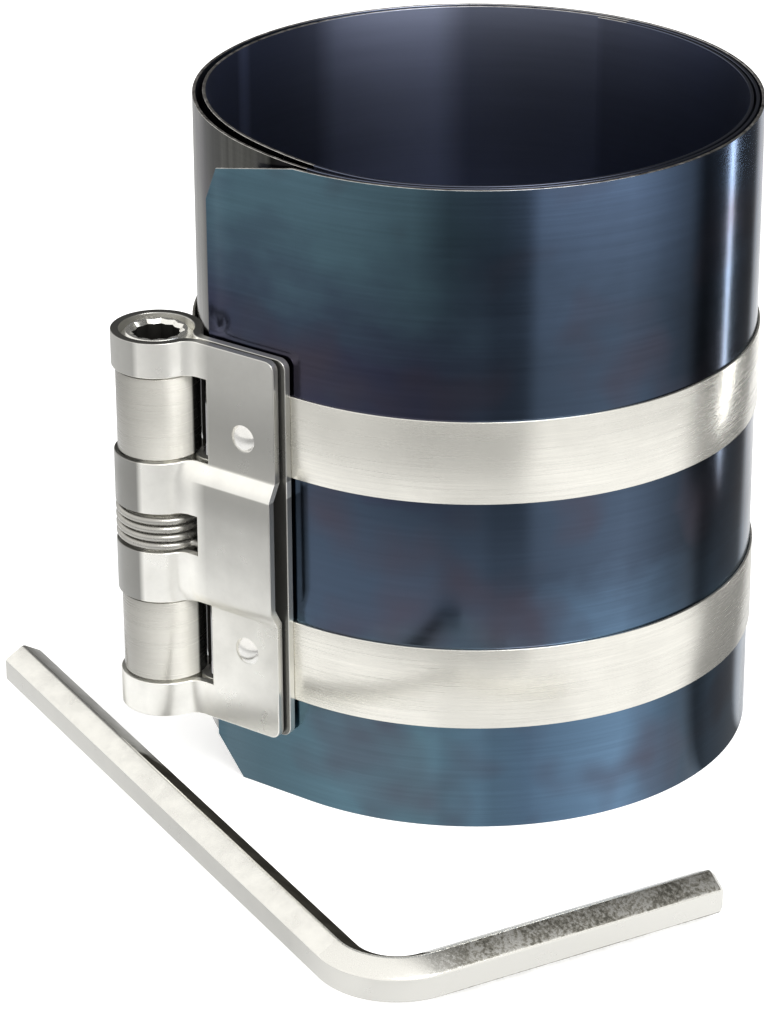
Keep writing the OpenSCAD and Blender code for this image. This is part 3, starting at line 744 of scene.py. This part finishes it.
class RINGTOOL_OT_sleeve(bpy.types.Operator):
    """Coils the blued strip, from its clipped flat end inwards"""
    bl_idname = "ringtool.sleeve"
    bl_label = "Sleeve"

    def execute(self, context):
        s = context.scene.ring_compressor.sleeve
        bm = bmesh.new()
        slope = s.top_clip_h / s.top_clip_l
        end_slope = s.end_clip_h / s.end_clip_l

        def lower(run):
            return max(0.0, s.bottom_clip_h * (1 - run / s.bottom_clip_l))

        def upper(run):
            shoulder = s.height - s.top_clip_h
            return min(s.height, shoulder + run * slope, shoulder - s.end_clip_h + run * end_slope)

        start = Vector((-s.flap, -s.radius + s.thick / 2, (lower(0) + upper(0)) / 2))
        section = upright_section(bm, start, ACROSS, s.thick, upper(0) - lower(0), s.edge_r)
        # The clipped corners widen the strip over the first stretches of the flat end
        done = 0.0
        for run in (s.end_clip_h / (end_slope - slope), s.bottom_clip_l, s.top_clip_l, s.flap):
            section = carry_along(bm, section, ALONG * (run - done))
            for side, edge in ((-1, lower), (1, upper)):
                verts = [v for v in verts_of(section) if (v.co.z - s.height / 2) * side > 0]
                bmesh.ops.translate(bm, vec=UP * (edge(run) - edge(done)), verts=verts)
            done = run
        half_step = (s.thick + s.layer_gap) / 2
        whole = s.turns * FULL_TURN
        # The two halves of the second and the third layer stand off behind the flat end, up to an angle
        second = (s.second_dent, math.radians(283))
        third = (s.third_dent, math.radians(291))
        dents = {1: second, 2: second, 3: third, 4: third}
        for k in range(math.ceil(whole / HALF_TURN)):
            left = k % 2 == 1
            # The second layer is slack: short straight stretches join it at the back and the front
            shift = s.slack if k == 1 else 0.0
            if k in (1, 2):
                section = carry_along(bm, section, ALONG * (-s.slack if k == 1 else s.slack))
            centre = Vector((-shift, half_step if left else 0.0, 0))
            angle = min(HALF_TURN, whole - k * HALF_TURN)
            steps = max(4, round(s.steps * angle / HALF_TURN))
            begin = QUARTER_TURN if left else HALF_TURN + QUARTER_TURN
            section = carry_dented(bm, section, centre, begin, angle, steps, *dents.get(k, (0.0, 0.0)))
        bmesh.ops.recalc_face_normals(bm, faces=bm.faces[:])
        for face in bm.faces:
            middle = face.calc_center_median()
            inner_layer = middle.x > 0 and middle.xy.length < s.radius - s.thick - s.layer_gap / 2
            if abs(face.normal.z) > 0.5 and not inner_layer:
                face.material_index = 1
            elif inner_layer or face.normal.dot(middle) < 0:
                face.material_index = 2
        materials = [blued_steel(s), bare_edge(s), blued_inside(s)]
        finish_piece(bm, "coiled_sleeve", "clamp", ["sleeve"], materials)
        return {"FINISHED"}


def leave_place(sleeve, band):
    """Where a band leaves the second layer and crosses to its roll: centre there, angle, and straight run"""
    half_step = (sleeve.thick + sleeve.layer_gap) / 2
    centre = Vector((-sleeve.slack, half_step, 0))
    cross = sleeve.radius - half_step + band.seat + band.thick + band.lay_radius
    gap = AXIS - centre
    angle = math.atan2(gap.y, gap.x) + FULL_TURN - math.acos(cross / gap.length)
    run = math.sqrt(gap.length_squared - cross ** 2)
    return centre, angle, run


class RINGTOOL_OT_bands(bpy.types.Operator):
    """Lays the two bands round the sleeve and on to their rolls"""
    bl_idname = "ringtool.bands"
    bl_label = "Bands"

    def execute(self, context):
        settings = context.scene.ring_compressor
        sleeve, s = settings.sleeve, settings.band
        material = rolled_steel(s, "band_steel", metallic=PLATE_METALLIC, on_roll=False)
        centre, angle, run = leave_place(sleeve, s)
        for name in ("upper_band", "lower_band"):
            low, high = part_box(name)
            bm = bmesh.new()
            start = Vector((-s.tail, -sleeve.radius - s.seat - s.thick / 2, (low.z + high.z) / 2))
            section = upright_section(bm, start, ACROSS, s.thick, s.width, s.edge_r)
            section = carry_along(bm, section, ALONG * s.tail)
            section = carry_round(bm, section, Vector(), HALF_TURN, sleeve.steps)
            section = carry_along(bm, section, ALONG * -sleeve.slack)
            section = carry_round(bm, section, centre, angle - QUARTER_TURN, sleeve.steps // 2)
            section = carry_along(bm, section, run * level(angle + QUARTER_TURN))
            carry_round(bm, section, AXIS, -s.wrap, 6)
            finish_piece(bm, name + "_strip", "clamp", [name], [material])
        return {"FINISHED"}


class RINGTOOL_OT_rolls(bpy.types.Operator):
    """Winds the ends of the bands on the spindle"""
    bl_idname = "ringtool.rolls"
    bl_label = "Rolls"

    def execute(self, context):
        settings = context.scene.ring_compressor
        s = settings.band
        material = rolled_steel(s, "roll_steel", metallic=0.5, on_roll=True)
        step = (s.thick + s.seat) / 2
        steps_per_radian = 16
        # The coil is wound as its mirror image and then turned over in the spindle's plane
        start = HALF_TURN + s.wrap - leave_place(settings.sleeve, s)[1]
        stop = start + s.roll_turns * FULL_TURN
        first = math.floor((start + QUARTER_TURN) / HALF_TURN)
        last = math.floor((stop + QUARTER_TURN) / HALF_TURN)
        inner_r = settings.spindle.radius + s.seat + (step if last % 2 == 1 else 0.0)
        flip = Matrix.Translation(AXIS) @ Matrix.Diagonal((1, -1, 1, 1)) @ Matrix.Translation(-AXIS)
        for name in ("upper_roll", "lower_roll"):
            low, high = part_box(name)
            bm = bmesh.new()
            shift = ACROSS * (step if first % 2 == 1 else 0.0)
            middle_r = inner_r + (last - first) * step + s.thick / 2
            middle = AXIS + shift + middle_r * level(start) + UP * (low.z + high.z) / 2
            section = upright_section(bm, middle, level(start), s.thick, s.width, s.edge_r)
            for k in range(first, last + 1):
                begin = max(start, k * HALF_TURN - QUARTER_TURN)
                end = min(stop, k * HALF_TURN + QUARTER_TURN)
                centre = AXIS + ACROSS * (step if k % 2 == 1 else 0.0)
                steps = max(3, round((end - begin) * steps_per_radian))
                section = carry_round(bm, section, centre, end - begin, steps)
            bmesh.ops.transform(bm, matrix=flip, verts=bm.verts[:])
            finish_piece(bm, name + "_coil", "winder", [name], [material])
        return {"FINISHED"}


def bend_of(s, off):
    """Angle at the spindle's axis where the bend to a leaf begins, and the bend's reach along the leaf"""
    away = KNUCKLE_R + s.bend_r
    angle = math.asin((off + s.bend_r) / away)
    return angle, away * math.cos(angle)


def sheet_line(bm, s, z, off, front_off):
    """Middle line of the folded sheet at one height: back leaf, bend, knuckle, bend, front leaf"""
    before = set(bm.edges)
    half = s.sheet / 2
    angle, bend_x = bend_of(s, off)
    front_angle, front_x = bend_of(s, front_off)
    base = AXIS + UP * z
    tip = bmesh.ops.create_vert(bm, co=base + Vector((s.back_reach, off - half, 0)))["vert"]
    tip = carry_along(bm, tip, ALONG * (bend_x - s.back_reach))
    tip = carry_round(bm, verts_of(tip), base + Vector((bend_x, off + s.bend_r, 0)), angle - QUARTER_TURN, 8)
    tip = carry_round(bm, verts_of(tip), base, FULL_TURN - angle - front_angle, 64)
    tip = carry_round(bm, verts_of(tip), base + Vector((front_x, -front_off - s.bend_r, 0)),
                      front_angle - QUARTER_TURN, 8)
    carry_along(bm, verts_of(tip), ALONG * (s.reach - front_x))
    return [e for e in bm.edges if e not in before]


class RINGTOOL_OT_housing(bpy.types.Operator):
    """Folds the housing's sheet round the spindle and presses out its middle"""
    bl_idname = "ringtool.housing"
    bl_label = "Housing"

    def execute(self, context):
        s = context.scene.ring_compressor.housing
        bm = bmesh.new()
        off = s.leaf_gap / 2 + s.sheet
        raised = off + s.pocket_d
        top = (HOUSING_HIGH.z - HOUSING_LOW.z) / 2
        foot = s.pocket_h / 2
        head = foot + s.ramp_h
        heights = ((-top, off), (-head, off), (-foot, raised), (foot, raised), (head, off), (top, off))
        lines = [sheet_line(bm, s, HOUSING_MIDDLE + z, off, front) for z, front in heights]
        for below, above in zip(lines, lines[1:]):
            bmesh.ops.bridge_loops(bm, edges=below + above)
        windows = [(side * s.band_rise, s.band_window / 2, s.band_slot) for side in (-1, 1)]
        windows.append((0.0, s.spring_window / 2, s.spring_slot))
        for middle, half, slot in windows:
            for z in (middle - half, middle + half):
                slice_at(bm, UP * (HOUSING_MIDDLE + z), UP)
            slice_at(bm, AXIS + ALONG * slot, ALONG)
        cut = []
        for face in bm.faces:
            at = face.calc_center_median()
            for middle, half, slot in windows:
                if abs(at.z - HOUSING_MIDDLE - middle) < half and at.x < AXIS.x + slot:
                    cut.append(face)
                    break
        bmesh.ops.delete(bm, geom=cut, context="FACES")
        near = 0.01 * MM
        ends = [v for v in bm.verts if abs(abs(v.co.z - HOUSING_MIDDLE) - top) < near
                and v.co.x > AXIS.x + s.reach - near]
        bmesh.ops.bevel(bm, geom=ends, offset=s.corner_r, offset_type="OFFSET", affect="VERTICES",
                        segments=6, profile=0.5, material=-1)
        ramp = (HOUSING_MIDDLE + foot, HOUSING_MIDDLE + head)
        material = plated("plated_sheet", s.tint, scale=260.0, rough=(0.26, 0.36), bump=0.05, ramp=ramp)
        piece = finish_piece(bm, "folded_housing", "clamp", ["housing"], [material])
        shell = piece.modifiers.new("Sheet", "SOLIDIFY")
        shell.thickness = s.sheet
        shell.offset = 0.0
        shell.use_even_offset = True
        rounding = piece.modifiers.new("Edges", "BEVEL")
        rounding.width = s.edge_r
        rounding.segments = 3
        rounding.limit_method = "ANGLE"
        rounding.angle_limit = math.radians(50)
        rounding.harden_normals = True
        return {"FINISHED"}


class RINGTOOL_OT_spindle(bpy.types.Operator):
    """Turns the spindle and broaches its twelve-point socket"""
    bl_idname = "ringtool.spindle"
    bl_label = "Spindle"

    def execute(self, context):
        s = context.scene.ring_compressor.spindle
        bm = bmesh.new()
        points = 24
        outer = s.socket_af / math.sqrt(3)
        inner = s.socket_af / 2 / math.cos(FULL_TURN / points)
        top = AXIS + UP * SPINDLE_HIGH.z
        star = bmesh.ops.create_circle(bm, segments=points, radius=outer, cap_ends=False,
                                       matrix=Matrix.Translation(top))["verts"]
        for index, vert in enumerate(star):
            if index % 2:
                vert.co = top + (vert.co - top) * (inner / outer)
        mouth_edges = list({e for v in star for e in v.link_edges})
        rim = bmesh.ops.create_circle(bm, segments=96, radius=s.radius - s.chamfer, cap_ends=False,
                                      matrix=Matrix.Translation(top))["verts"]
        rim_edges = list({e for v in rim for e in v.link_edges})
        # The mouth of the socket is chamfered, then the socket goes down to its floor
        flare = 1 + s.mouth / outer
        bmesh.ops.scale(bm, vec=Vector((1, 1, 1)) * flare, verts=star, space=Matrix.Translation(-top))
        bmesh.ops.triangle_fill(bm, use_beauty=True, edges=mouth_edges + rim_edges)
        sink_loop(bm, mouth_edges, top, ((s.mouth, 1 / flare), (s.socket_depth - s.mouth, 1.0)))
        for face in bm.faces:
            if face.calc_center_median().z < top.z - s.mouth:
                face.material_index = 1
        # The outside: chamfer, shaft, chamfer and bottom end
        tall = SPINDLE_HIGH.z - SPINDLE_LOW.z
        wide = s.radius / (s.radius - s.chamfer)
        sink_loop(bm, rim_edges, top, ((s.chamfer, wide), (tall - 2 * s.chamfer, 1.0), (s.chamfer, 1 / wide)))
        material = plated("plated_spindle", s.tint, scale=420.0, rough=(0.18, 0.32), bump=0.12)
        socket = plated("dark_socket", s.socket_tint, scale=500.0, rough=(0.35, 0.5), bump=0.3)
        finish_piece(bm, "socketed_spindle", "winder", ["spindle"], [material, socket])
        return {"FINISHED"}


class RINGTOOL_OT_wrap_spring(bpy.types.Operator):
    """Winds the wrap spring and leads its tail into the pocket"""
    bl_idname = "ringtool.wrap_spring"
    bl_label = "Wrap spring"

    def execute(self, context):
        settings = context.scene.ring_compressor
        s = settings.spring
        bm = bmesh.new()
        pocket_mid = -settings.housing.pocket_d / 2
        tail_angle = -math.asin((s.bend_r - pocket_mid) / (s.coil_r + s.bend_r))
        whole = s.turns * FULL_TURN
        drop = s.turns * s.pitch
        begin = tail_angle - whole
        middle = AXIS + UP * HOUSING_MIDDLE
        start = middle + s.coil_r * level(begin) + UP * (drop / 2)
        facing = Matrix.Rotation(begin, 4, "Z") @ Matrix.Rotation(QUARTER_TURN, 4, "X")
        bmesh.ops.create_circle(bm, segments=14, radius=s.wire / 2, cap_ends=True,
                                matrix=Matrix.Translation(start) @ facing)
        section = carry_round(bm, everything(bm), middle, whole, round(s.turns * TURN_STEPS), rise=-drop)
        bend_at = middle + (s.coil_r + s.bend_r) * level(tail_angle) - UP * (drop / 2)
        section = carry_round(bm, section, bend_at, -QUARTER_TURN - tail_angle, 8)
        carry_along(bm, section, ALONG * s.tail)
        material = plated("spring_wire", s.tint, scale=500.0, rough=(0.2, 0.36), bump=0.1)
        finish_piece(bm, "wound_spring", "clamp", ["wrap_spring"], [material])
        return {"FINISHED"}


class RINGTOOL_OT_rivets(bpy.types.Operator):
    """Sets the two domed rivets"""
    bl_idname = "ringtool.rivets"
    bl_label = "Rivets"

    def execute(self, context):
        s = context.scene.ring_compressor.rivet
        material = plated("plated_rivet", s.tint, scale=700.0, rough=(0.14, 0.26), bump=0.1)
        for name in ("upper_rivet", "lower_rivet"):
            low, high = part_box(name)
            bm = bmesh.new()
            middle = (low + high) / 2
            dome_r = (s.head_r ** 2 + s.head_h ** 2) / (2 * s.head_h)
            sweep = math.asin(s.head_r / dome_r)
            # The head's profile is an arc from the crown to the rim, spun about the rivet's axis
            crown = Vector((middle.x, low.y, middle.z))
            tip = bmesh.ops.create_vert(bm, co=crown)["vert"]
            arc = carry_round(bm, tip, crown + ACROSS * dome_r, sweep, 8)
            shank = carry_along(bm, verts_of(arc), ALONG * (s.shank_r - s.head_r))
            tail = carry_along(bm, verts_of(shank), ACROSS * (high.y - low.y - s.head_h))
            carry_along(bm, verts_of(tail), ALONG * -s.shank_r)
            bmesh.ops.spin(bm, geom=everything(bm), cent=crown, axis=ACROSS, angle=FULL_TURN,
                           steps=TURN_STEPS, use_merge=True, use_duplicate=False)
            finish_piece(bm, name + "_domed", "clamp", [name], [material])
        return {"FINISHED"}


class RINGTOOL_OT_hex_key(bpy.types.Operator):
    """Bends the loose hex key from one hexagonal bar"""
    bl_idname = "ringtool.hex_key"
    bl_label = "Hex key"

    def execute(self, context):
        s = context.scene.ring_compressor.key
        bm = bmesh.new()
        radius = s.across / math.sqrt(3)
        away = context.scene.ring_compressor.sleeve.radius + s.away
        # The key is made along +X from its long end and then turned into place
        facing = Matrix.Rotation(QUARTER_TURN, 4, "Y") @ Matrix.Rotation(QUARTER_TURN, 4, "Z")
        bmesh.ops.create_circle(bm, segments=6, radius=radius, cap_ends=True,
                                matrix=Matrix.Translation(ALONG * s.long_leg) @ facing)
        bmesh.ops.bevel(bm, geom=bm.verts[:], offset=s.edge_r, offset_type="OFFSET", affect="VERTICES",
                        segments=3, profile=0.5, material=-1)
        small = 1 - s.chamfer / radius
        bmesh.ops.scale(bm, vec=Vector((1, small, small)), verts=bm.verts[:])
        section = carry_along(bm, everything(bm), ALONG * -s.chamfer)
        bmesh.ops.scale(bm, vec=Vector((1, 1 / small, 1 / small)), verts=verts_of(section))
        section = carry_along(bm, section, ALONG * (s.bend_r + s.chamfer - s.long_leg))
        bend_middle = Vector((s.bend_r, -s.bend_r, 0))
        section = carry_round(bm, section, bend_middle, QUARTER_TURN, 24)
        section = carry_along(bm, section, ACROSS * (s.bend_r + s.chamfer - s.short_leg))
        section = carry_along(bm, section, ACROSS * -s.chamfer)
        bmesh.ops.scale(bm, vec=Vector((small, 1, small)), verts=verts_of(section))
        # Painted shade with worn speckles below and on the short leg's outer slope, painted shadow on the
        # long leg's inner slope, and painted shade on the outer wall
        bmesh.ops.recalc_face_normals(bm, faces=bm.faces[:])
        slope = math.radians(60)
        for face in bm.faces:
            middle = face.calc_center_median()
            on_short = middle.y < -s.bend_r
            if on_short:
                inwards = ALONG
            elif middle.x > s.bend_r:
                inwards = -ACROSS
            else:
                inwards = (bend_middle - middle * Vector((1, 1, 0))).normalized()
            outer_slope = UP * math.sin(slope) - inwards * math.cos(slope)
            inner_slope = UP * math.sin(slope) + inwards * math.cos(slope)
            under = face.normal.z < -0.3 and face.normal.dot(inwards) < 0
            if under or (middle.x < s.bend_r and face.normal.dot(outer_slope) > 0.95):
                face.material_index = 1
            elif not on_short and face.normal.dot(inner_slope) > 0.95:
                face.material_index = 2
            elif face.normal.dot(-inwards) > 0.9:
                face.material_index = 3
        spot = Matrix.Rotation(s.turn, 4, "Z") @ Matrix.Translation((-s.lead, away, radius))
        bmesh.ops.transform(bm, matrix=spot, verts=bm.verts[:])
        bright = plated("key_steel", s.tint, scale=300.0, rough=(0.16, 0.3), bump=0.35)
        materials = [bright, worn_plate_and_painted_shade(s, away), painted_shadow_plate(s), painted_shade_grey_plate(s)]
        finish_piece(bm, "bent_hex_key", "key", ["hex_key"], materials)
        return {"FINISHED"}


# Stage

def mirror_angle(tree, s, at, away):
    """Angle on the sleeve, from the camera's side, at which a spot of the floor is mirrored"""
    spot = parts_of(tree, at)
    around = sums(tree, "ARCTAN2", spot["Y"], spot["X"])
    from_camera = sums(tree, "SUBTRACT", around, s.turn - QUARTER_TURN)
    wrapped = sums(tree, "FRACT", sums(tree, "ADD", sums(tree, "DIVIDE", from_camera, FULL_TURN), 0.5))
    turned = sums(tree, "SUBTRACT", product(tree, wrapped, FULL_TURN), HALF_TURN)
    near = sums(tree, "DIVIDE", s.mirror_radius, sums(tree, "MAXIMUM", away, s.mirror_radius))
    # A first guess, which each round brings nearer
    angle = product(tree, turned, 0.55)
    for _ in range(4):
        lag = sums(tree, "ARCSINE", product(tree, sums(tree, "SINE", angle), near))
        angle = product(tree, sums(tree, "ADD", turned, lag), 0.5)
    return angle


def show_either(tree, output, share, first, second):
    """Sends one of two shaders to the output"""
    mixer = place(tree, "ShaderNodeMixShader", {"Fac": share, 1: first.outputs[0], 2: second.outputs[0]})
    place(tree, output, {"Surface": mixer.outputs[0]})


def studio_floor(s):
    """Pale floor: white to the camera, with soft shadows, and with cards of light and dark for metal to
    mirror, each stop an angle on the sleeve in degrees and a brightness"""
    material = bpy.data.materials.new("studio_floor")
    material.use_nodes = True
    tree = material.node_tree
    tree.nodes.clear()
    path = place(tree, "ShaderNodeLightPath").outputs
    at = place(tree, "ShaderNodeTexCoord").outputs["Object"]
    away = vector_sum(tree, "LENGTH", at)["Value"]
    angle = mirror_angle(tree, s, at, away)
    share = sums(tree, "ADD", sums(tree, "DIVIDE", angle, HALF_TURN), 0.5)
    near_cards = (
        (-90, 0.9), (-72, 0.95), (-66, 1.2), (-46, 1.15), (-38, 1.05), (-8, 1.0), (-6, 0.85), (10, 0.85),
        (12, 0.88), (20, 0.95), (30, 1.03), (50, 1.03), (54, 0.16), (72.5, 0.16), (76, 0.8), (84, 1.0),
        (90, 0.9))
    far_cards = (
        (-90, 0.9), (-72, 0.95), (-66, 1.1), (-46, 1.0), (-38, 0.9), (-22, 0.72), (-14, 0.56), (-6, 0.48),
        (10, 0.48), (12, 1.19), (46, 1.15), (50, 0.13), (72.5, 0.13), (76, 1.4), (84, 1.5), (90, 0.9))
    cards = [grey_ramp(tree, share, stops, scale=2, around=180) for stops in (near_cards, far_cards)]
    bright = mixed(tree, spread(tree, away, 80 * MM, 130 * MM), *cards)
    strength = product(tree, bright, spread(tree, away, 100 * MM, 190 * MM, 2.0, 1.4))
    # One narrow bright strip that only the upper part of the sleeve mirrors
    rise, fall = [[math.radians(d) for d in pair] for pair in ((59.0, 59.2), (60.3, 60.5))]
    strip = product(tree, window(tree, angle, rise, fall), spread(tree, away, 100 * MM, 130 * MM, 0.0, 10.0))
    strength = sums(tree, "ADD", strength, strip)
    mirrored = place(tree, "ShaderNodeEmission", {"Color": WHITE, "Strength": strength})
    matt = place(tree, "ShaderNodeBsdfDiffuse", {"Color": rgba(s.floor)})
    lit = product(tree, path["Is Camera Ray"], s.floor_glow)
    glow = place(tree, "ShaderNodeEmission", {"Color": WHITE, "Strength": lit})
    seen = place(tree, "ShaderNodeAddShader", {0: matt.outputs[0], 1: glow.outputs[0]})
    show_either(tree, "ShaderNodeOutputMaterial", path["Is Glossy Ray"], seen, mirrored)
    return material


def studio_world(s):
    """White to the camera, a soft sky for the light, and one dark side behind for metal to mirror"""
    world = bpy.data.worlds.new("studio_world")
    bpy.context.scene.world = world
    world.use_nodes = True
    tree = world.node_tree
    tree.nodes.clear()
    path = place(tree, "ShaderNodeLightPath").outputs
    way = place(tree, "ShaderNodeTexCoord").outputs["Generated"]
    sky = spread(tree, parts_of(tree, way)["Z"], 0.0, 0.9, 0.6, 1.0)
    behind = along_way(tree, way, level(s.turn - QUARTER_TURN + s.dark_turn))
    mirrored = spread(tree, behind, 0.12, 0.45, 1.1, 0.06)
    inputs = {"Factor": path["Is Glossy Ray"], "A": sky, "B": mirrored}
    strength = place(tree, "ShaderNodeMix", inputs).outputs[0]
    lit = place(tree, "ShaderNodeBackground", {"Color": rgba(s.sky), "Strength": strength})
    plain = place(tree, "ShaderNodeBackground", {"Color": WHITE, "Strength": 1.0})
    show_either(tree, "ShaderNodeOutputWorld", path["Is Camera Ray"], lit, plain)


def studio_lamp(s, aim):
    """Square soft lamp that shines at a point"""
    data = bpy.data.lights.new("key_lamp", "AREA")
    data.shape = "SQUARE"
    data.size = s.lamp_size
    data.energy = s.lamp_power
    lamp = bpy.data.objects.new("key_lamp", data)
    bpy.context.scene.collection.objects.link(lamp)
    lamp.location = s.lamp_at
    lamp.rotation_euler = (aim - lamp.location).to_track_quat("-Z", "Y").to_euler()


def studio_camera(s):
    """Camera at the photograph's angle"""
    data = bpy.data.cameras.new("camera")
    data.sensor_fit = "VERTICAL"
    data.sensor_height = 36.0
    data.lens = s.lens
    data.clip_start = 0.01
    camera = bpy.data.objects.new("camera", data)
    bpy.context.scene.collection.objects.link(camera)
    bpy.context.scene.camera = camera
    ahead = level(QUARTER_TURN - s.yaw) * math.cos(s.pitch) - UP * math.sin(s.pitch)
    right = level(-s.yaw)
    up = right.cross(ahead)
    rolled_right = math.cos(s.roll) * right + math.sin(s.roll) * up
    rolled_up = math.cos(s.roll) * up - math.sin(s.roll) * right
    rows = [[rolled_right[i], rolled_up[i], -ahead[i], 0.0] for i in range(3)]
    facing = Matrix(rows + [[0, 0, 0, 1]])
    spot = Matrix.Translation((0, -s.camera_away, s.camera_height))
    camera.matrix_world = Matrix.Rotation(s.turn, 4, "Z") @ spot @ facing


class RINGTOOL_OT_stage(bpy.types.Operator):
    """Sets the floor, the light and the camera"""
    bl_idname = "ringtool.stage"
    bl_label = "Stage"

    def execute(self, context):
        s = context.scene.ring_compressor.stage
        bm = bmesh.new()
        bmesh.ops.create_grid(bm, x_segments=4, y_segments=4, size=s.floor_size / 2)
        mesh = bpy.data.meshes.new("studio_floor")
        bm.to_mesh(mesh)
        bm.free()
        mesh.materials.append(studio_floor(s))
        floor = bpy.data.objects.new("studio_floor", mesh)
        context.scene.collection.objects.link(floor)
        studio_world(s)
        studio_lamp(s, UP * SLEEVE_HIGH.z / 2)
        studio_camera(s)
        context.scene.view_settings.view_transform = "Standard"
        return {"FINISHED"}


class RINGTOOL_PT_panel(bpy.types.Panel):
    """Lists the pieces and the stage"""
    bl_idname = "RINGTOOL_PT_panel"
    bl_label = "Ring compressor"
    bl_space_type = "VIEW_3D"
    bl_region_type = "UI"
    bl_category = "Ring compressor"

    def draw(self, context):
        for operator in OPERATORS:
            self.layout.operator(operator.bl_idname)


OPERATORS = (RINGTOOL_OT_sleeve, RINGTOOL_OT_bands, RINGTOOL_OT_rolls, RINGTOOL_OT_housing,
             RINGTOOL_OT_spindle, RINGTOOL_OT_wrap_spring, RINGTOOL_OT_rivets, RINGTOOL_OT_hex_key,
             RINGTOOL_OT_stage)
CLASSES = (SleeveSettings, BandSettings, HousingSettings, SpindleSettings, SpringSettings, RivetSettings,
           KeySettings, StageSettings, RingCompressorSettings, *OPERATORS, RINGTOOL_PT_panel)


def register():
    """Registers the classes and the settings"""
    for cls in CLASSES:
        bpy.utils.register_class(cls)
    bpy.types.Scene.ring_compressor = PointerProperty(type=RingCompressorSettings)


def unregister():
    """Takes the settings and the classes away again"""
    del bpy.types.Scene.ring_compressor
    for cls in reversed(CLASSES):
        bpy.utils.unregister_class(cls)


def main():
    """Makes every piece and the stage"""
    register()
    bpy.ops.ringtool.sleeve()
    bpy.ops.ringtool.bands()
    bpy.ops.ringtool.rolls()
    bpy.ops.ringtool.housing()
    bpy.ops.ringtool.spindle()
    bpy.ops.ringtool.wrap_spring()
    bpy.ops.ringtool.rivets()
    bpy.ops.ringtool.hex_key()
    bpy.ops.ringtool.stage()


if __name__ == "__main__":
    main()
